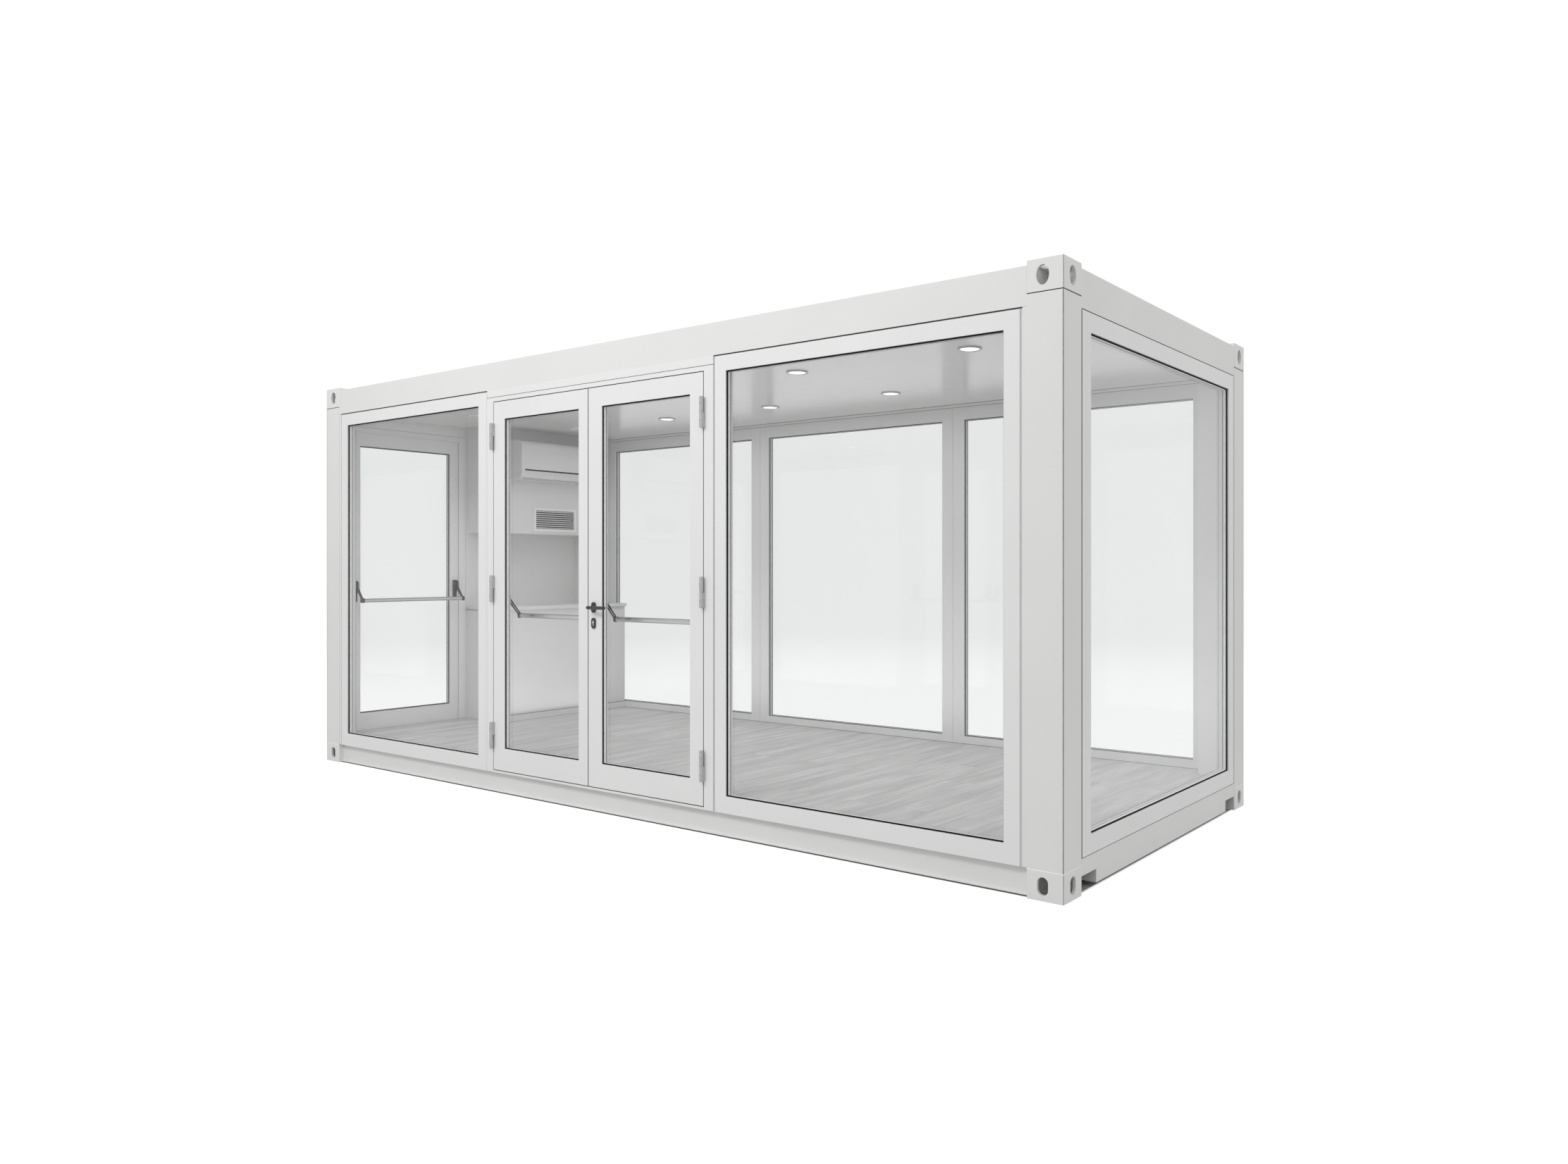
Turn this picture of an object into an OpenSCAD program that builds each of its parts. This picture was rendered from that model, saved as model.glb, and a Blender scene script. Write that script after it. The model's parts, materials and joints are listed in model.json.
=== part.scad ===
// Glazed container: a steel-framed module on four castings, glazed on three sides,
// with a double door, an end door and a small technical corner at the door end.
// Lengths are millimetres. Wall work is drawn in wall coordinates: x along the wall,
// y from its outer face into the room, z up.

/* [Module] */
// Length over the corner castings
module_l = 6055; // [5800:5:7300]
// Width over the corner castings
module_w = 2435; // [2400:5:3000]
// Height over the corner castings
module_h = 2762; // [2700:1:3100]

/* [Steel frame] */
// Side of a square corner casting
casting_side = 178; // [170:1:200]
// Height of a top casting
top_casting_h = 140; // [120:1:170]
// Height of a bottom casting
foot_casting_h = 127; // [110:1:150]
// Wall of a casting
casting_wall = 14; // [8:1:20]
// Width of the two posts at the door end, seen on the end face
door_post_w = 98; // [80:1:120]
// Plate of posts and rails
steel_t = 4; // [3:0.5:6]
// Height of the roof rails
roof_rail_h = 175; // [150:1:220]
// How far the roof rails lie below the tops of the castings
roof_drop = 19; // [5:1:40]
// Height of the door-side floor rail, which is also its frames' seat
door_sill_z = 132; // [120:1:150]
// How far the door-side floor rail is set back
door_sill_set_back = 35; // [10:1:50]
// Top of the other three floor rails
sill_z = 158; // [140:1:165]

/* [Room] */
// Height of the floor's surface
floor_z = 195; // [185:1:240]
// Height of the ceiling's underside
ceiling_z = 2590; // [2580:1:2640]
// Thickness of the ceiling panel
ceiling_t = 18; // [9:1:30]

/* [Glazing] */
// Depth of the window and door frames
frame_d = 54; // [52:1:80]
// Recess of the frames behind the castings' faces
frame_recess = 2; // [1:1:5]
// Visible width of a fixed frame's members
frame_face = 90; // [60:1:110]
// Thickness of a double-glazed unit
glass_t = 24; // [18:1:27]

/* [Double door] */
// Left edge of the double door's frame
door_x = 1990; // [1700:5:2200]
// Width of the double door's frame
door_frame_w = 2006; // [1900:2:2100]
// Top of the double door's frame
door_frame_top = 2519; // [2400:1:2540]
// Width of its two jambs
jamb_w = 68; // [50:1:90]
// Width of the left leaf
left_leaf_w = 912; // [850:1:925]
// Depth of a leaf
leaf_d = 44; // [43:1:46]

/* [End door] */
// Width of the end door's frame
end_door_w = 1026; // [950:1:1100]
// Top of the end door's frame
end_door_top = 2508; // [2400:1:2540]
// Width of its two jambs
end_jamb_w = 45; // [35:1:60]
// Width of its stiles
end_stile = 84; // [75:1:110]

/* [Opening gaps] */
// Gap between a leaf and its frame
leaf_gap = 5; // [5:0.5:8]
// Gap where the two leaves meet
meeting_gap = 8; // [8:0.5:12]

/* [Technical corner] */
// Where the counter and the box above it begin, from the door side
corner_y = 1140; // [1130:5:1300]
// Face of the counter, from the end wall's outer face
counter_x = 578; // [500:1:700]
// Height of the counter's top
counter_z = 1120; // [1000:1:1200]
// Thickness of the counter's top
counter_t = 25; // [18:1:40]
// Face of the box under the ceiling
box_x = 360; // [300:1:450]
// Underside of the box under the ceiling
box_z = 1722; // [1600:1:1850]
// Board that the counter and the box are made of
board_t = 18; // [12:1:25]

/* [Hidden] */
$fn = 48;

steel_white = [0.90, 0.90, 0.89];
frame_white = [0.93, 0.93, 0.93];
board_grey = [0.80, 0.80, 0.79];
glass_tint = [0.80, 0.86, 0.87, 0.35];
rubber_black = [0.13, 0.13, 0.14];
hinge_grey = [0.66, 0.66, 0.65];
fitting_grey = [0.26, 0.26, 0.25];
bar_silver = [0.78, 0.78, 0.78];

// Posts and rails
end_post_w = casting_side;
post_recess = 2;
post_step = 3;
front_lip = 22;
end_lip = 6;
lip_return = 48;
head_joint = 4;
head_plate_t = 10;
rail_set_back = 3;
roof_rail_top = module_h - roof_drop;
rail_z = roof_rail_top - roof_rail_h;
rail_t = 3;
roof_flange = 57;
roof_shelf_drop = 30;
roof_shelf = 28;
joint = 2;
deck_gap = 1;
floor_lip = 15;

// Frames, from the outer face inwards
frame_y = frame_recess;
frame_in = frame_y + frame_d;
lip_d = 8;
rebate = 18;
groove_w = 10;
groove_d = 10;
top_groove = 8;
end_groove = 3;
gasket_t = 4;
gasket_show = 5;
gasket_hide = 8;
glass_bite = 12;
leaf_y = frame_recess;
leaf_in = leaf_y + leaf_d;
leaf_lip_d = 6;
leaf_gasket_t = 3;
lock_step = 4;

// Double door
leaf_zone_l = door_x + jamb_w;
leaf_zone_r = door_x + door_frame_w - jamb_w;
leaf_l = leaf_zone_l + leaf_gap;
leaf_r = leaf_zone_r - leaf_gap;
meet_l = leaf_l + left_leaf_w;
meet_r = meet_l + meeting_gap;
threshold_h = 13;
leaf_z = door_sill_z + threshold_h + leaf_gap;
head_h = 26;
leaf_top = door_frame_top - head_h - leaf_gap;
stop_t = 4;
stop_w = 13;
leaf_rail_bottom = 140;
leaf_rail_top = 112;
left_leaf_insets = [111, leaf_rail_bottom, 81, leaf_rail_top];
right_leaf_insets = [117, leaf_rail_bottom, 100, leaf_rail_top];

// End door, in wall coordinates along the end wall
end_door_y = door_post_w + joint;
end_leaf_l = end_door_y + end_jamb_w + leaf_gap;
end_leaf_r = end_door_y + end_door_w - end_jamb_w - leaf_gap - 1;
end_leaf_z = sill_z + threshold_h + leaf_gap;
end_leaf_top = end_door_top - head_h - leaf_gap;
end_leaf_insets = [end_stile, 148, end_stile, leaf_rail_top];

// Hinges: the axis stands in front of the frames
hinge_out = 15;
hinge_r = 12;
hinge_h = 165;
hinge_half = hinge_h / 2;
pin_r = 6;
pin_play = 0.05;
knuckle_gap = 1;
wing_w = 10;
pad_t = 4;
hinge_from_end = 218;
hinge_zs = [leaf_z + hinge_from_end, (leaf_z + leaf_top) / 2 - 18, leaf_top - hinge_from_end];
end_hinge_zs = [end_leaf_z + hinge_from_end, (end_leaf_z + end_leaf_top) / 2 - 18,
                end_leaf_top - hinge_from_end];
left_axis_x = leaf_zone_l + leaf_gap / 2;
right_axis_x = leaf_zone_r - leaf_gap / 2;
end_axis_x = end_door_y + end_jamb_w + leaf_gap / 2;

// Lever handle and lock plates on the right leaf's meeting stile
lever_x = meet_r + 50;
lever_z = 1201;
lock_centres = 92;
plate_t = 9;
lever_neck_r = 9;
lever_out = 48;
lever_len = 150;
lever_bar_r = 10;

// Push bars
case_w = 32;
case_h = 160;
case_d = 30;
case_plate_t = 8;
bar_z = 1127;
end_bar_z = 1187;
pivot_up = 118;
pivot_over_mid = 50;
pivot_in = 20;
pivot_r = 5;
bar_out = 114;
arm_t = 8;
arm_w = 20;
arm_slot = 7;
clamp_w = 24;
clamp_wall = 3;
bar_w = 20;
bar_h = 30;
case_clear = 3;

// Technical corner
corner_end = module_w - frame_in;
grille_w = 440;
grille_h = 200;
grille_y = corner_y + 430;
grille_z = box_z + 22;
ac_len = 850;
ac_y = corner_y + 165;
ac_z = 2165;
ac_h = 315;
ac_d = 205;

// Lights
light_flange_r = 65;
light_can_r = 54;
light_rows = [737, module_w - 737];
light_first = 783;
light_pitch = 1060;
light_last = 907;
beam_pitch = 1075;

// How far the door hardware stands out of the module's faces
front_proud = lever_out + lever_bar_r - leaf_y;
end_proud = hinge_out + hinge_r;

// ---------------------------------------------------------------- placing
module in_frame() {
  translate([-module_l / 2 + end_proud / 2, -module_w / 2 + front_proud / 2, 0]) children();
}
module on_back() { translate([0, module_w, 0]) mirror([0, 1, 0]) children(); }
module on_door_end() { mirror([1, -1, 0]) children(); }
module on_glass_end() { translate([module_l, 0, 0]) mirror([1, 0, 0]) mirror([1, -1, 0]) children(); }

// Four corners: children are drawn with the outer corner at the origin
module at_corner(far_x, far_y) {
  translate([far_x * module_l, far_y * module_w, 0]) mirror([far_x, 0, 0]) mirror([0, far_y, 0]) children();
}

// ---------------------------------------------------------------- shared shapes
// Slab of wall: box = [left, bottom, right, top], from depth y0 to y1
module slab(box, y0, y1) {
  translate([box[0], y0, box[1]]) cube([box[2] - box[0], y1 - y0, box[3] - box[1]]);
}

// The same slab with an opening: insets = [left, bottom, right, top]
module ring(box, insets, y0, y1) {
  difference() {
    slab(box, y0, y1);
    slab(inner_box(box, insets), y0 - 1, y1 + 1);
  }
}
function inner_box(box, insets) =
  [box[0] + insets[0], box[1] + insets[1], box[2] - insets[2], box[3] - insets[3]];
function less(insets, d) = [for (i = insets) i - d];

// Frame or leaf: outer lip, glazing channel and inner bead
module glazed_profile(box, insets, y0, depth, lip) {
  channel_end = y0 + lip + 2 * glazing_gap(lip) + glass_t;
  ring(box, insets, y0, y0 + lip);
  ring(box, less(insets, rebate), y0 + lip, channel_end);
  ring(box, insets, channel_end, y0 + depth);
}
function glazing_gap(lip) = lip == leaf_lip_d ? leaf_gasket_t : gasket_t;

module pane(box, insets, y0, lip) {
  g0 = y0 + lip + glazing_gap(lip);
  slab(inner_box(box, less(insets, glass_bite)), g0, g0 + glass_t);
}

module pane_gaskets(box, insets, y0, lip) {
  t = glazing_gap(lip);
  outer = inner_box(box, less(insets, gasket_hide));
  band = gasket_hide + gasket_show;
  ring(outer, [band, band, band, band], y0 + lip, y0 + lip + t);
  ring(outer, [band, band, band, band], y0 + lip + t + glass_t, y0 + lip + 2 * t + glass_t);
}

// Thin folded section: square-cornered path of a sheet's lower left corner
module folded(path, t) {
  for (i = [0 : len(path) - 2]) {
    a = path[i];
    b = path[i + 1];
    translate([min(a[0], b[0]), min(a[1], b[1])])
      square([abs(a[0] - b[0]) + t, abs(a[1] - b[1]) + t]);
  }
}

// Section drawn in depth and height, run along the wall from x0 to x1
module along(x0, x1) {
  translate([x0, 0, 0]) rotate([90, 0, 90]) linear_extrude(x1 - x0) children();
}

module obround(w, h) {
  r = w / 2;
  translate([-r, -h / 2 + r]) square([w, h - w]);
  translate([0, h / 2 - r]) circle(r);
  translate([0, -h / 2 + r]) circle(r);
}

module rounded_square(w, h, r) {
  translate([r, 0]) square([w - 2 * r, h]);
  translate([0, r]) square([w, h - 2 * r]);
  for (x = [r, w - r], y = [r, h - r]) translate([x, y]) circle(r);
}

// ---------------------------------------------------------------- steel frame
// A bottom casting has slots in its sides, a top casting ovals; children draw that shape
cap_slot_w = 63.5;
cap_slot_l = 124;
module casting(h, cap_z) {
  mid = casting_side / 2;
  slot_x = casting_side * 0.56;
  inside = casting_side - 2 * casting_wall;
  cut = casting_wall + 2;
  difference() {
    linear_extrude(h) rounded_square(casting_side, casting_side, 6);
    translate([casting_wall, casting_wall, casting_wall]) cube([inside, inside, h - 2 * casting_wall]);
    translate([slot_x, casting_wall + 1, h / 2]) rotate([90, 0, 0]) linear_extrude(cut) children();
    translate([-1, mid, h / 2]) rotate([90, 0, 90]) linear_extrude(cut) children();
    translate([mid, mid, cap_z]) rotate([0, 0, 90]) linear_extrude(cut) obround(cap_slot_w, cap_slot_l);
  }
}
module oval(w, h) { polygon([for (a = [0 : 10 : 350]) [w / 2 * cos(a), h / 2 * sin(a)]]); }

module corner_castings() {
  color(steel_white)
    for (fx = [0, 1], fy = [0, 1]) at_corner(fx, fy) {
      casting(foot_casting_h, -1) obround(52, 79);
      translate([0, 0, module_h - top_casting_h]) casting(top_casting_h, top_casting_h - casting_wall - 1) oval(62, 88);
    }
}

// Folded post: two faces, each stepping back to a lip that the frames stand against
module post_section(end_w, lip) {
  t = steel_t;
  p = post_recess;
  front_w = casting_side;
  s = p + post_step;
  back = s + lip_return;
  face = front_w + front_lip;
  side = end_w + lip;
  polygon([
    [p, p], [front_w, p], [front_w, s], [face, s], [face, back], [face - t, back],
    [face - t, s + t], [front_w - t, s + t], [front_w - t, p + t], [p + t, p + t], [p + t, end_w - t],
    [s + t, end_w - t], [s + t, side - t], [back, side - t], [back, side], [s, side],
    [s, end_w], [p, end_w]
  ]);
}

// The lips run only from the frames' seats up to the roof rails. A plate inside the post's
// head carries the top casting and leaves a joint open under it.
post_top = module_h - top_casting_h;
module post(end_w, lip, seat_z) {
  inset = post_recess + steel_t - 1;
  difference() {
    translate([0, 0, foot_casting_h]) linear_extrude(post_top - head_joint - foot_casting_h)
      post_section(end_w, lip);
    for (z = [[foot_casting_h - 1, seat_z], [rail_z, post_top + 1]])
      translate([casting_side, -1, z[0]]) cube([100, 100, z[1] - z[0]]);
    for (z = [[foot_casting_h - 1, sill_z], [rail_z, post_top + 1]])
      translate([-1, end_w, z[0]]) cube([casting_side + 1, 100, z[1] - z[0]]);
  }
  translate([inset, inset, post_top - head_plate_t])
    cube([casting_side - inset - 10, end_w - inset - 10, head_plate_t]);
}

// Beside the narrow post, plates close the wall under the top casting and over the bottom one
module corner_posts() {
  color(steel_white) {
    for (fx = [0, 1], fy = [0, 1]) at_corner(fx, fy)
      post(post_end_w(fx, fy), end_lip_w(fx, fy), fy == 0 ? door_sill_z : sill_z);
    for (z = [[foot_casting_h, sill_z], [rail_z, post_top]])
      translate([post_recess + 1, door_post_w - 1, z[0]])
        cube([steel_t, casting_side - door_post_w + 1, z[1] - z[0]]);
  }
}
function post_end_w(fx, fy) = fx == 0 && fy == 0 ? door_post_w : end_post_w;
function end_lip_w(fx, fy) = fx == 0 && fy == 0 ? 0 : end_lip;
function post_reach_y(fx, fy) = post_end_w(fx, fy) + end_lip_w(fx, fy);
post_reach_x = casting_side + front_lip;

// Inside corners are boxed in with lining board
module post_linings() {
  lining_t = 10;
  color(frame_white)
    for (fx = [0, 1], fy = [0, 1]) {
      z0 = fx == 0 && fy == 1 ? counter_z : floor_z;
      z1 = fx == 0 && fy == 1 ? box_z : ceiling_z;
      x1 = post_reach_x + 2 + lining_t;
      y1 = post_reach_y(fx, fy) + 2 + lining_t;
      at_corner(fx, fy) translate([0, 0, z0]) linear_extrude(z1 - z0) polygon([
        [x1, frame_in], [x1, y1], [frame_in, y1], [frame_in, y1 - lining_t],
        [x1 - lining_t, y1 - lining_t], [x1 - lining_t, frame_in]
      ]);
    }
}

module roof_rail(length) {
  s = rail_set_back;
  shelf_y = s + roof_flange - rail_t;
  shelf_z = roof_rail_top - rail_t - roof_shelf_drop;
  along(casting_side, length - casting_side) folded([
    [shelf_y + roof_shelf, shelf_z], [shelf_y, shelf_z], [shelf_y, roof_rail_top - rail_t],
    [s, roof_rail_top - rail_t], [s, rail_z], [frame_in - rail_t, rail_z],
    [frame_in - rail_t, ceiling_z - rail_t]
  ], rail_t);
}

module roof_rails() {
  color(steel_white) {
    roof_rail(module_l);
    on_back() roof_rail(module_l);
    on_door_end() roof_rail(module_w);
    on_glass_end() roof_rail(module_w);
  }
}

// Ribbed roof sheet on the rails' shelves
rib_pitch = 210;
rib_h = 24;
sheet_t = 1.5;
sheet_edge = rail_set_back + roof_flange + 4;
sheet_z = roof_rail_top - roof_shelf_drop;
function rib_line(x, z) = [[x, z], [x + 90, z], [x + 110, z + rib_h], [x + 190, z + rib_h]];
module roof_sheet() {
  ribs = floor((module_l - 2 * casting_side - 60) / rib_pitch);
  x0 = (module_l - ribs * rib_pitch) / 2;
  line = concat(
    [[sheet_edge, sheet_z]],
    [for (i = [0 : ribs - 1]) each rib_line(x0 + i * rib_pitch - 10, sheet_z)],
    [[x0 + ribs * rib_pitch, sheet_z], [module_l - sheet_edge, sheet_z]]
  );
  under = [for (i = [len(line) - 1 : -1 : 0]) [line[i][0], line[i][1] + sheet_t]];
  color(steel_white) difference() {
    translate([0, module_w - sheet_edge, 0]) rotate([90, 0, 0])
      linear_extrude(module_w - 2 * sheet_edge) polygon(concat(line, under));
    for (fx = [0, 1], fy = [0, 1]) at_corner(fx, fy)
      translate([0, 0, sheet_z - 10]) cube([casting_side + 1, casting_side + 1, 60]);
  }
}

// Channels under the roof sheet, from rail to rail
module c_channel(h, w, t, x, y0, y1, z) {
  translate([x, y0, z]) difference() {
    cube([w, y1 - y0, h]);
    translate([t, -1, t]) cube([w, y1 - y0 + 2, h - 2 * t]);
  }
}
module roof_beams() {
  y0 = rail_set_back + rail_t;
  beam_h = sheet_z - rail_t - ceiling_z - ceiling_t;
  color(steel_white)
    for (i = [-2.5 : 2.5])
      c_channel(beam_h, 50, 3, module_l / 2 + i * beam_pitch - 25, y0, module_w - y0, ceiling_z + ceiling_t);
}

// Four columns of lights at one pitch from the door end, and a fifth set from the glass end
light_cols = concat([for (i = [0 : 3]) light_first + i * light_pitch], [module_l - light_last]);
function light_spots() = [for (x = light_cols, y = light_rows) [x, y]];

module ceiling() {
  edge = rail_set_back + rail_t + 2;
  color(frame_white) difference() {
    translate([edge, edge, ceiling_z]) cube([module_l - 2 * edge, module_w - 2 * edge, ceiling_t]);
    for (fx = [0, 1], fy = [0, 1]) at_corner(fx, fy)
      translate([0, 0, ceiling_z - 1]) cube([post_reach_x + 3, end_post_w + end_lip + 3, ceiling_t + 2]);
    for (p = light_spots()) translate([p[0], p[1], ceiling_z - 1]) cylinder(r = light_can_r + 2, h = ceiling_t + 2);
  }
}

// Floor rails: a web, a seat for the frames and an upstand that carries the deck
deck_t = 25;
upstand_z = floor_z - deck_t;
module floor_rail(length, set_back, seat_z, foot_z, lip) {
  t = steel_t;
  along(casting_side, length - casting_side) folded([
    [frame_in + 30, foot_z], [set_back - lip, foot_z], [set_back, foot_z], [set_back, seat_z - t],
    [frame_in, seat_z - t], [frame_in, upstand_z - t]
  ], t);
}

sling_w = 155;
sling_h = 82;
end_rail_foot = 20;
module end_floor_rail() {
  t = steel_t;
  difference() {
    floor_rail(module_w, rail_set_back, sill_z, end_rail_foot, 0);
    for (x = [casting_side - 1, module_w - casting_side - sling_w + 1])
      translate([x, 0, 0]) cube([sling_w, frame_in + 60, sling_h]);
  }
  for (x = [casting_side + sling_w - 1, module_w - casting_side - sling_w + 1 - t])
    translate([x, rail_set_back, end_rail_foot]) cube([t, frame_in + 27, sling_h - end_rail_foot + 20]);
}

module floor_rails() {
  color(steel_white) {
    floor_rail(module_l, door_sill_set_back, door_sill_z, 6, floor_lip);
    on_back() floor_rail(module_l, rail_set_back, sill_z, end_rail_foot, 0);
    on_door_end() end_floor_rail();
    on_glass_end() end_floor_rail();
  }
}

bearer_count = 9;
bearer_h = 118;
module floor_bearers() {
  y0 = frame_in + steel_t;
  color(steel_white)
    for (i = [1 : bearer_count])
      c_channel(bearer_h, 45, 3, i * module_l / (bearer_count + 1) - 22, y0, module_w - y0, upstand_z - bearer_h);
}

module floor_deck() {
  color([0.72, 0.72, 0.72]) difference() {
    translate([frame_in + deck_gap, frame_in + deck_gap, upstand_z])
      cube([module_l - 2 * (frame_in + deck_gap), module_w - 2 * (frame_in + deck_gap), deck_t]);
    for (fx = [0, 1], fy = [0, 1]) at_corner(fx, fy)
      translate([0, 0, upstand_z - 1])
        cube([post_reach_x + 3, post_reach_y(fx, fy) + 3, deck_t + 2]);
  }
}

// ---------------------------------------------------------------- fixed glazing
fixed_insets = [frame_face, frame_face, frame_face, frame_face];
front_left_box = [post_reach_x + joint, door_sill_z, door_x - joint, rail_z];
front_right_box = [door_x + door_frame_w + joint, door_sill_z, module_l - post_reach_x - joint, rail_z];
end_box = [end_post_w + end_lip + joint, sill_z, module_w - end_post_w - end_lip - joint, rail_z];
infill_w = 160;
back_l = post_reach_x + joint + infill_w;
back_r = module_l - post_reach_x - joint;
back_bay = (back_r - back_l) / 3;
back_boxes = [for (i = [0 : 2])
  [back_l + i * back_bay + joint / 2, sill_z, back_l + (i + 1) * back_bay - joint / 2, rail_z]];

// Grooves run along the outer edges of a frame's face: [left, bottom, right, top]
module fixed_frame(box, grooves) {
  difference() {
    glazed_profile(box, fixed_insets, frame_y, frame_d, lip_d);
    ring(inner_box(box, [-1, -1, -1, -1]), less(grooves, -1), frame_y - 1, frame_y + groove_d);
  }
}
module fixed_pane(box) { pane(box, fixed_insets, frame_y, lip_d); }
module fixed_gaskets(box) { pane_gaskets(box, fixed_insets, frame_y, lip_d); }

module front_left_frame() {
  color(frame_white) fixed_frame(front_left_box, [groove_w, 0, 0, top_groove]);
}
module front_right_frame() {
  color(frame_white) fixed_frame(front_right_box, [groove_w, 0, groove_w, top_groove]);
}
module end_frame() {
  color(frame_white) on_glass_end() fixed_frame(end_box, [0, end_groove, 0, end_groove]);
}
module back_frames() {
  color(frame_white) on_back() for (b = back_boxes) fixed_frame(b, [0, end_groove, 0, end_groove]);
}
module back_infill() {
  color(frame_white) on_back()
    slab([post_reach_x + joint, sill_z, back_l - joint / 2, rail_z], frame_y, frame_in);
}

module front_glass() {
  color(glass_tint) {
    fixed_pane(front_left_box);
    fixed_pane(front_right_box);
  }
}
module end_glass() { color(glass_tint) on_glass_end() fixed_pane(end_box); }
module back_glass() { color(glass_tint) on_back() for (b = back_boxes) fixed_pane(b); }

module glazing_gaskets() {
  color(rubber_black) {
    fixed_gaskets(front_left_box);
    fixed_gaskets(front_right_box);
    on_glass_end() fixed_gaskets(end_box);
    on_back() for (b = back_boxes) fixed_gaskets(b);
  }
}

// ---------------------------------------------------------------- door frames
// Jambs, head and threshold, with a stop behind the leaf
module door_surround(x0, w, z0, z1, jamb) {
  box = [x0, z0, x0 + w, z1];
  clear = [jamb, threshold_h, jamb, head_h];
  stop_insets = [jamb + stop_w, threshold_h + 6, jamb + stop_w, head_h + stop_w];
  ring(box, clear, frame_y, frame_in - stop_t);
  ring(box, stop_insets, frame_in - stop_t, frame_in);
}

module door_frame() {
  color(frame_white) door_surround(door_x, door_frame_w, door_sill_z, door_frame_top, jamb_w);
}
// Panels that hang from the roof rails over the two doorways
module door_headers() {
  color(steel_white) {
    slab([door_x, door_frame_top + joint, door_x + door_frame_w, rail_z], frame_y + 1, frame_in);
    on_door_end()
      slab([end_door_y, end_door_top + joint, end_door_y + end_door_w, rail_z], frame_y + 1, frame_in);
  }
}
module end_door_frame() {
  color(frame_white) on_door_end() door_surround(end_door_y, end_door_w, sill_z, end_door_top, end_jamb_w);
}

// ---------------------------------------------------------------- leaves
left_leaf_box = [leaf_l, leaf_z, meet_l, leaf_top];
right_leaf_box = [meet_r, leaf_z, leaf_r, leaf_top];
end_leaf_box = [end_leaf_l, end_leaf_z, end_leaf_r, end_leaf_top];

// The lock edge steps back behind the outer lip, so that it clears as the leaf swings
module leaf(box, insets, lock_x) {
  difference() {
    glazed_profile(box, insets, leaf_y, leaf_d, leaf_lip_d);
    translate([lock_x - lock_step, leaf_y + leaf_lip_d, box[1] - 1])
      cube([2 * lock_step, leaf_d, box[3] - box[1] + 2]);
  }
}
module leaf_pane(box, insets) { pane(box, insets, leaf_y, leaf_lip_d); }
module leaf_gaskets(box, insets) { pane_gaskets(box, insets, leaf_y, leaf_lip_d); }

module left_leaf() { color(frame_white) leaf(left_leaf_box, left_leaf_insets, meet_l); }
module right_leaf() { color(frame_white) leaf(right_leaf_box, right_leaf_insets, meet_r); }
module end_leaf() { color(frame_white) on_door_end() leaf(end_leaf_box, end_leaf_insets, end_leaf_r); }
module left_leaf_glass() { color(glass_tint) leaf_pane(left_leaf_box, left_leaf_insets); }
module right_leaf_glass() { color(glass_tint) leaf_pane(right_leaf_box, right_leaf_insets); }
module end_leaf_glass() { color(glass_tint) on_door_end() leaf_pane(end_leaf_box, end_leaf_insets); }
module left_leaf_gaskets() { color(rubber_black) leaf_gaskets(left_leaf_box, left_leaf_insets); }
module right_leaf_gaskets() { color(rubber_black) leaf_gaskets(right_leaf_box, right_leaf_insets); }
module end_leaf_gaskets() { color(rubber_black) on_door_end() leaf_gaskets(end_leaf_box, end_leaf_insets); }

// ---------------------------------------------------------------- hinges
// Lower half on the frame, with the pin; side is +1 where the frame lies at larger x
module hinge_lower(x, z, side) {
  h = hinge_half - knuckle_gap / 2;
  translate([x, -hinge_out, z - hinge_half]) {
    cylinder(r = hinge_r, h = h);
    cylinder(r = pin_r, h = hinge_h - 8);
  }
  hinge_wing(x, z - hinge_half, h, side);
}
module hinge_upper(x, z, side) {
  h = hinge_half - knuckle_gap / 2;
  difference() {
    union() {
      translate([x, -hinge_out, z + knuckle_gap / 2]) cylinder(r = hinge_r, h = h);
      hinge_wing(x, z + knuckle_gap / 2, h, side);
    }
    translate([x, -hinge_out, z - 1]) cylinder(r = pin_r + pin_play, h = hinge_half - 6);
  }
}
// Arm from the barrel to a pad on the frame's or the leaf's face
module hinge_wing(x, z, h, side) {
  arm_w = hinge_r - 3;
  x0 = side > 0 ? x + 3 : x - 3 - arm_w;
  pad_x = side > 0 ? x + leaf_gap / 2 : x - leaf_gap / 2 - wing_w;
  translate([x0, -hinge_out, z]) cube([arm_w, hinge_out + frame_y, h]);
  translate([pad_x, frame_y - pad_t, z]) cube([wing_w, pad_t, h]);
}

module frame_hinges() {
  color(hinge_grey) {
    for (z = hinge_zs) {
      hinge_lower(left_axis_x, z, -1);
      hinge_lower(right_axis_x, z, 1);
    }
    on_door_end() for (z = end_hinge_zs) hinge_lower(end_axis_x, z, -1);
  }
}
module left_leaf_hinges() { color(hinge_grey) for (z = hinge_zs) hinge_upper(left_axis_x, z, 1); }
module right_leaf_hinges() { color(hinge_grey) for (z = hinge_zs) hinge_upper(right_axis_x, z, -1); }
module end_leaf_hinges() {
  color(hinge_grey) on_door_end() for (z = end_hinge_zs) hinge_upper(end_axis_x, z, 1);
}

// ---------------------------------------------------------------- lock furniture
module lock_plates() {
  color(fitting_grey) difference() {
    union() {
      translate([lever_x, leaf_y, lever_z]) rotate([90, 0, 0]) linear_extrude(plate_t) obround(34, 62);
      translate([lever_x, leaf_y, lever_z - lock_centres]) rotate([90, 0, 0])
        linear_extrude(plate_t) obround(32, 62);
    }
    translate([lever_x, leaf_y + 1, lever_z]) rotate([90, 0, 0]) cylinder(r = lever_neck_r + pin_play, h = plate_t + 2);
    translate([lever_x, leaf_y - plate_t / 2, lever_z - lock_centres + 6]) rotate([90, 0, 0])
      cylinder(r = 8.5, h = plate_t);
    translate([lever_x - 5, leaf_y - plate_t - 1, lever_z - lock_centres - 16]) cube([10, plate_t / 2 + 1, 20]);
  }
}

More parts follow.
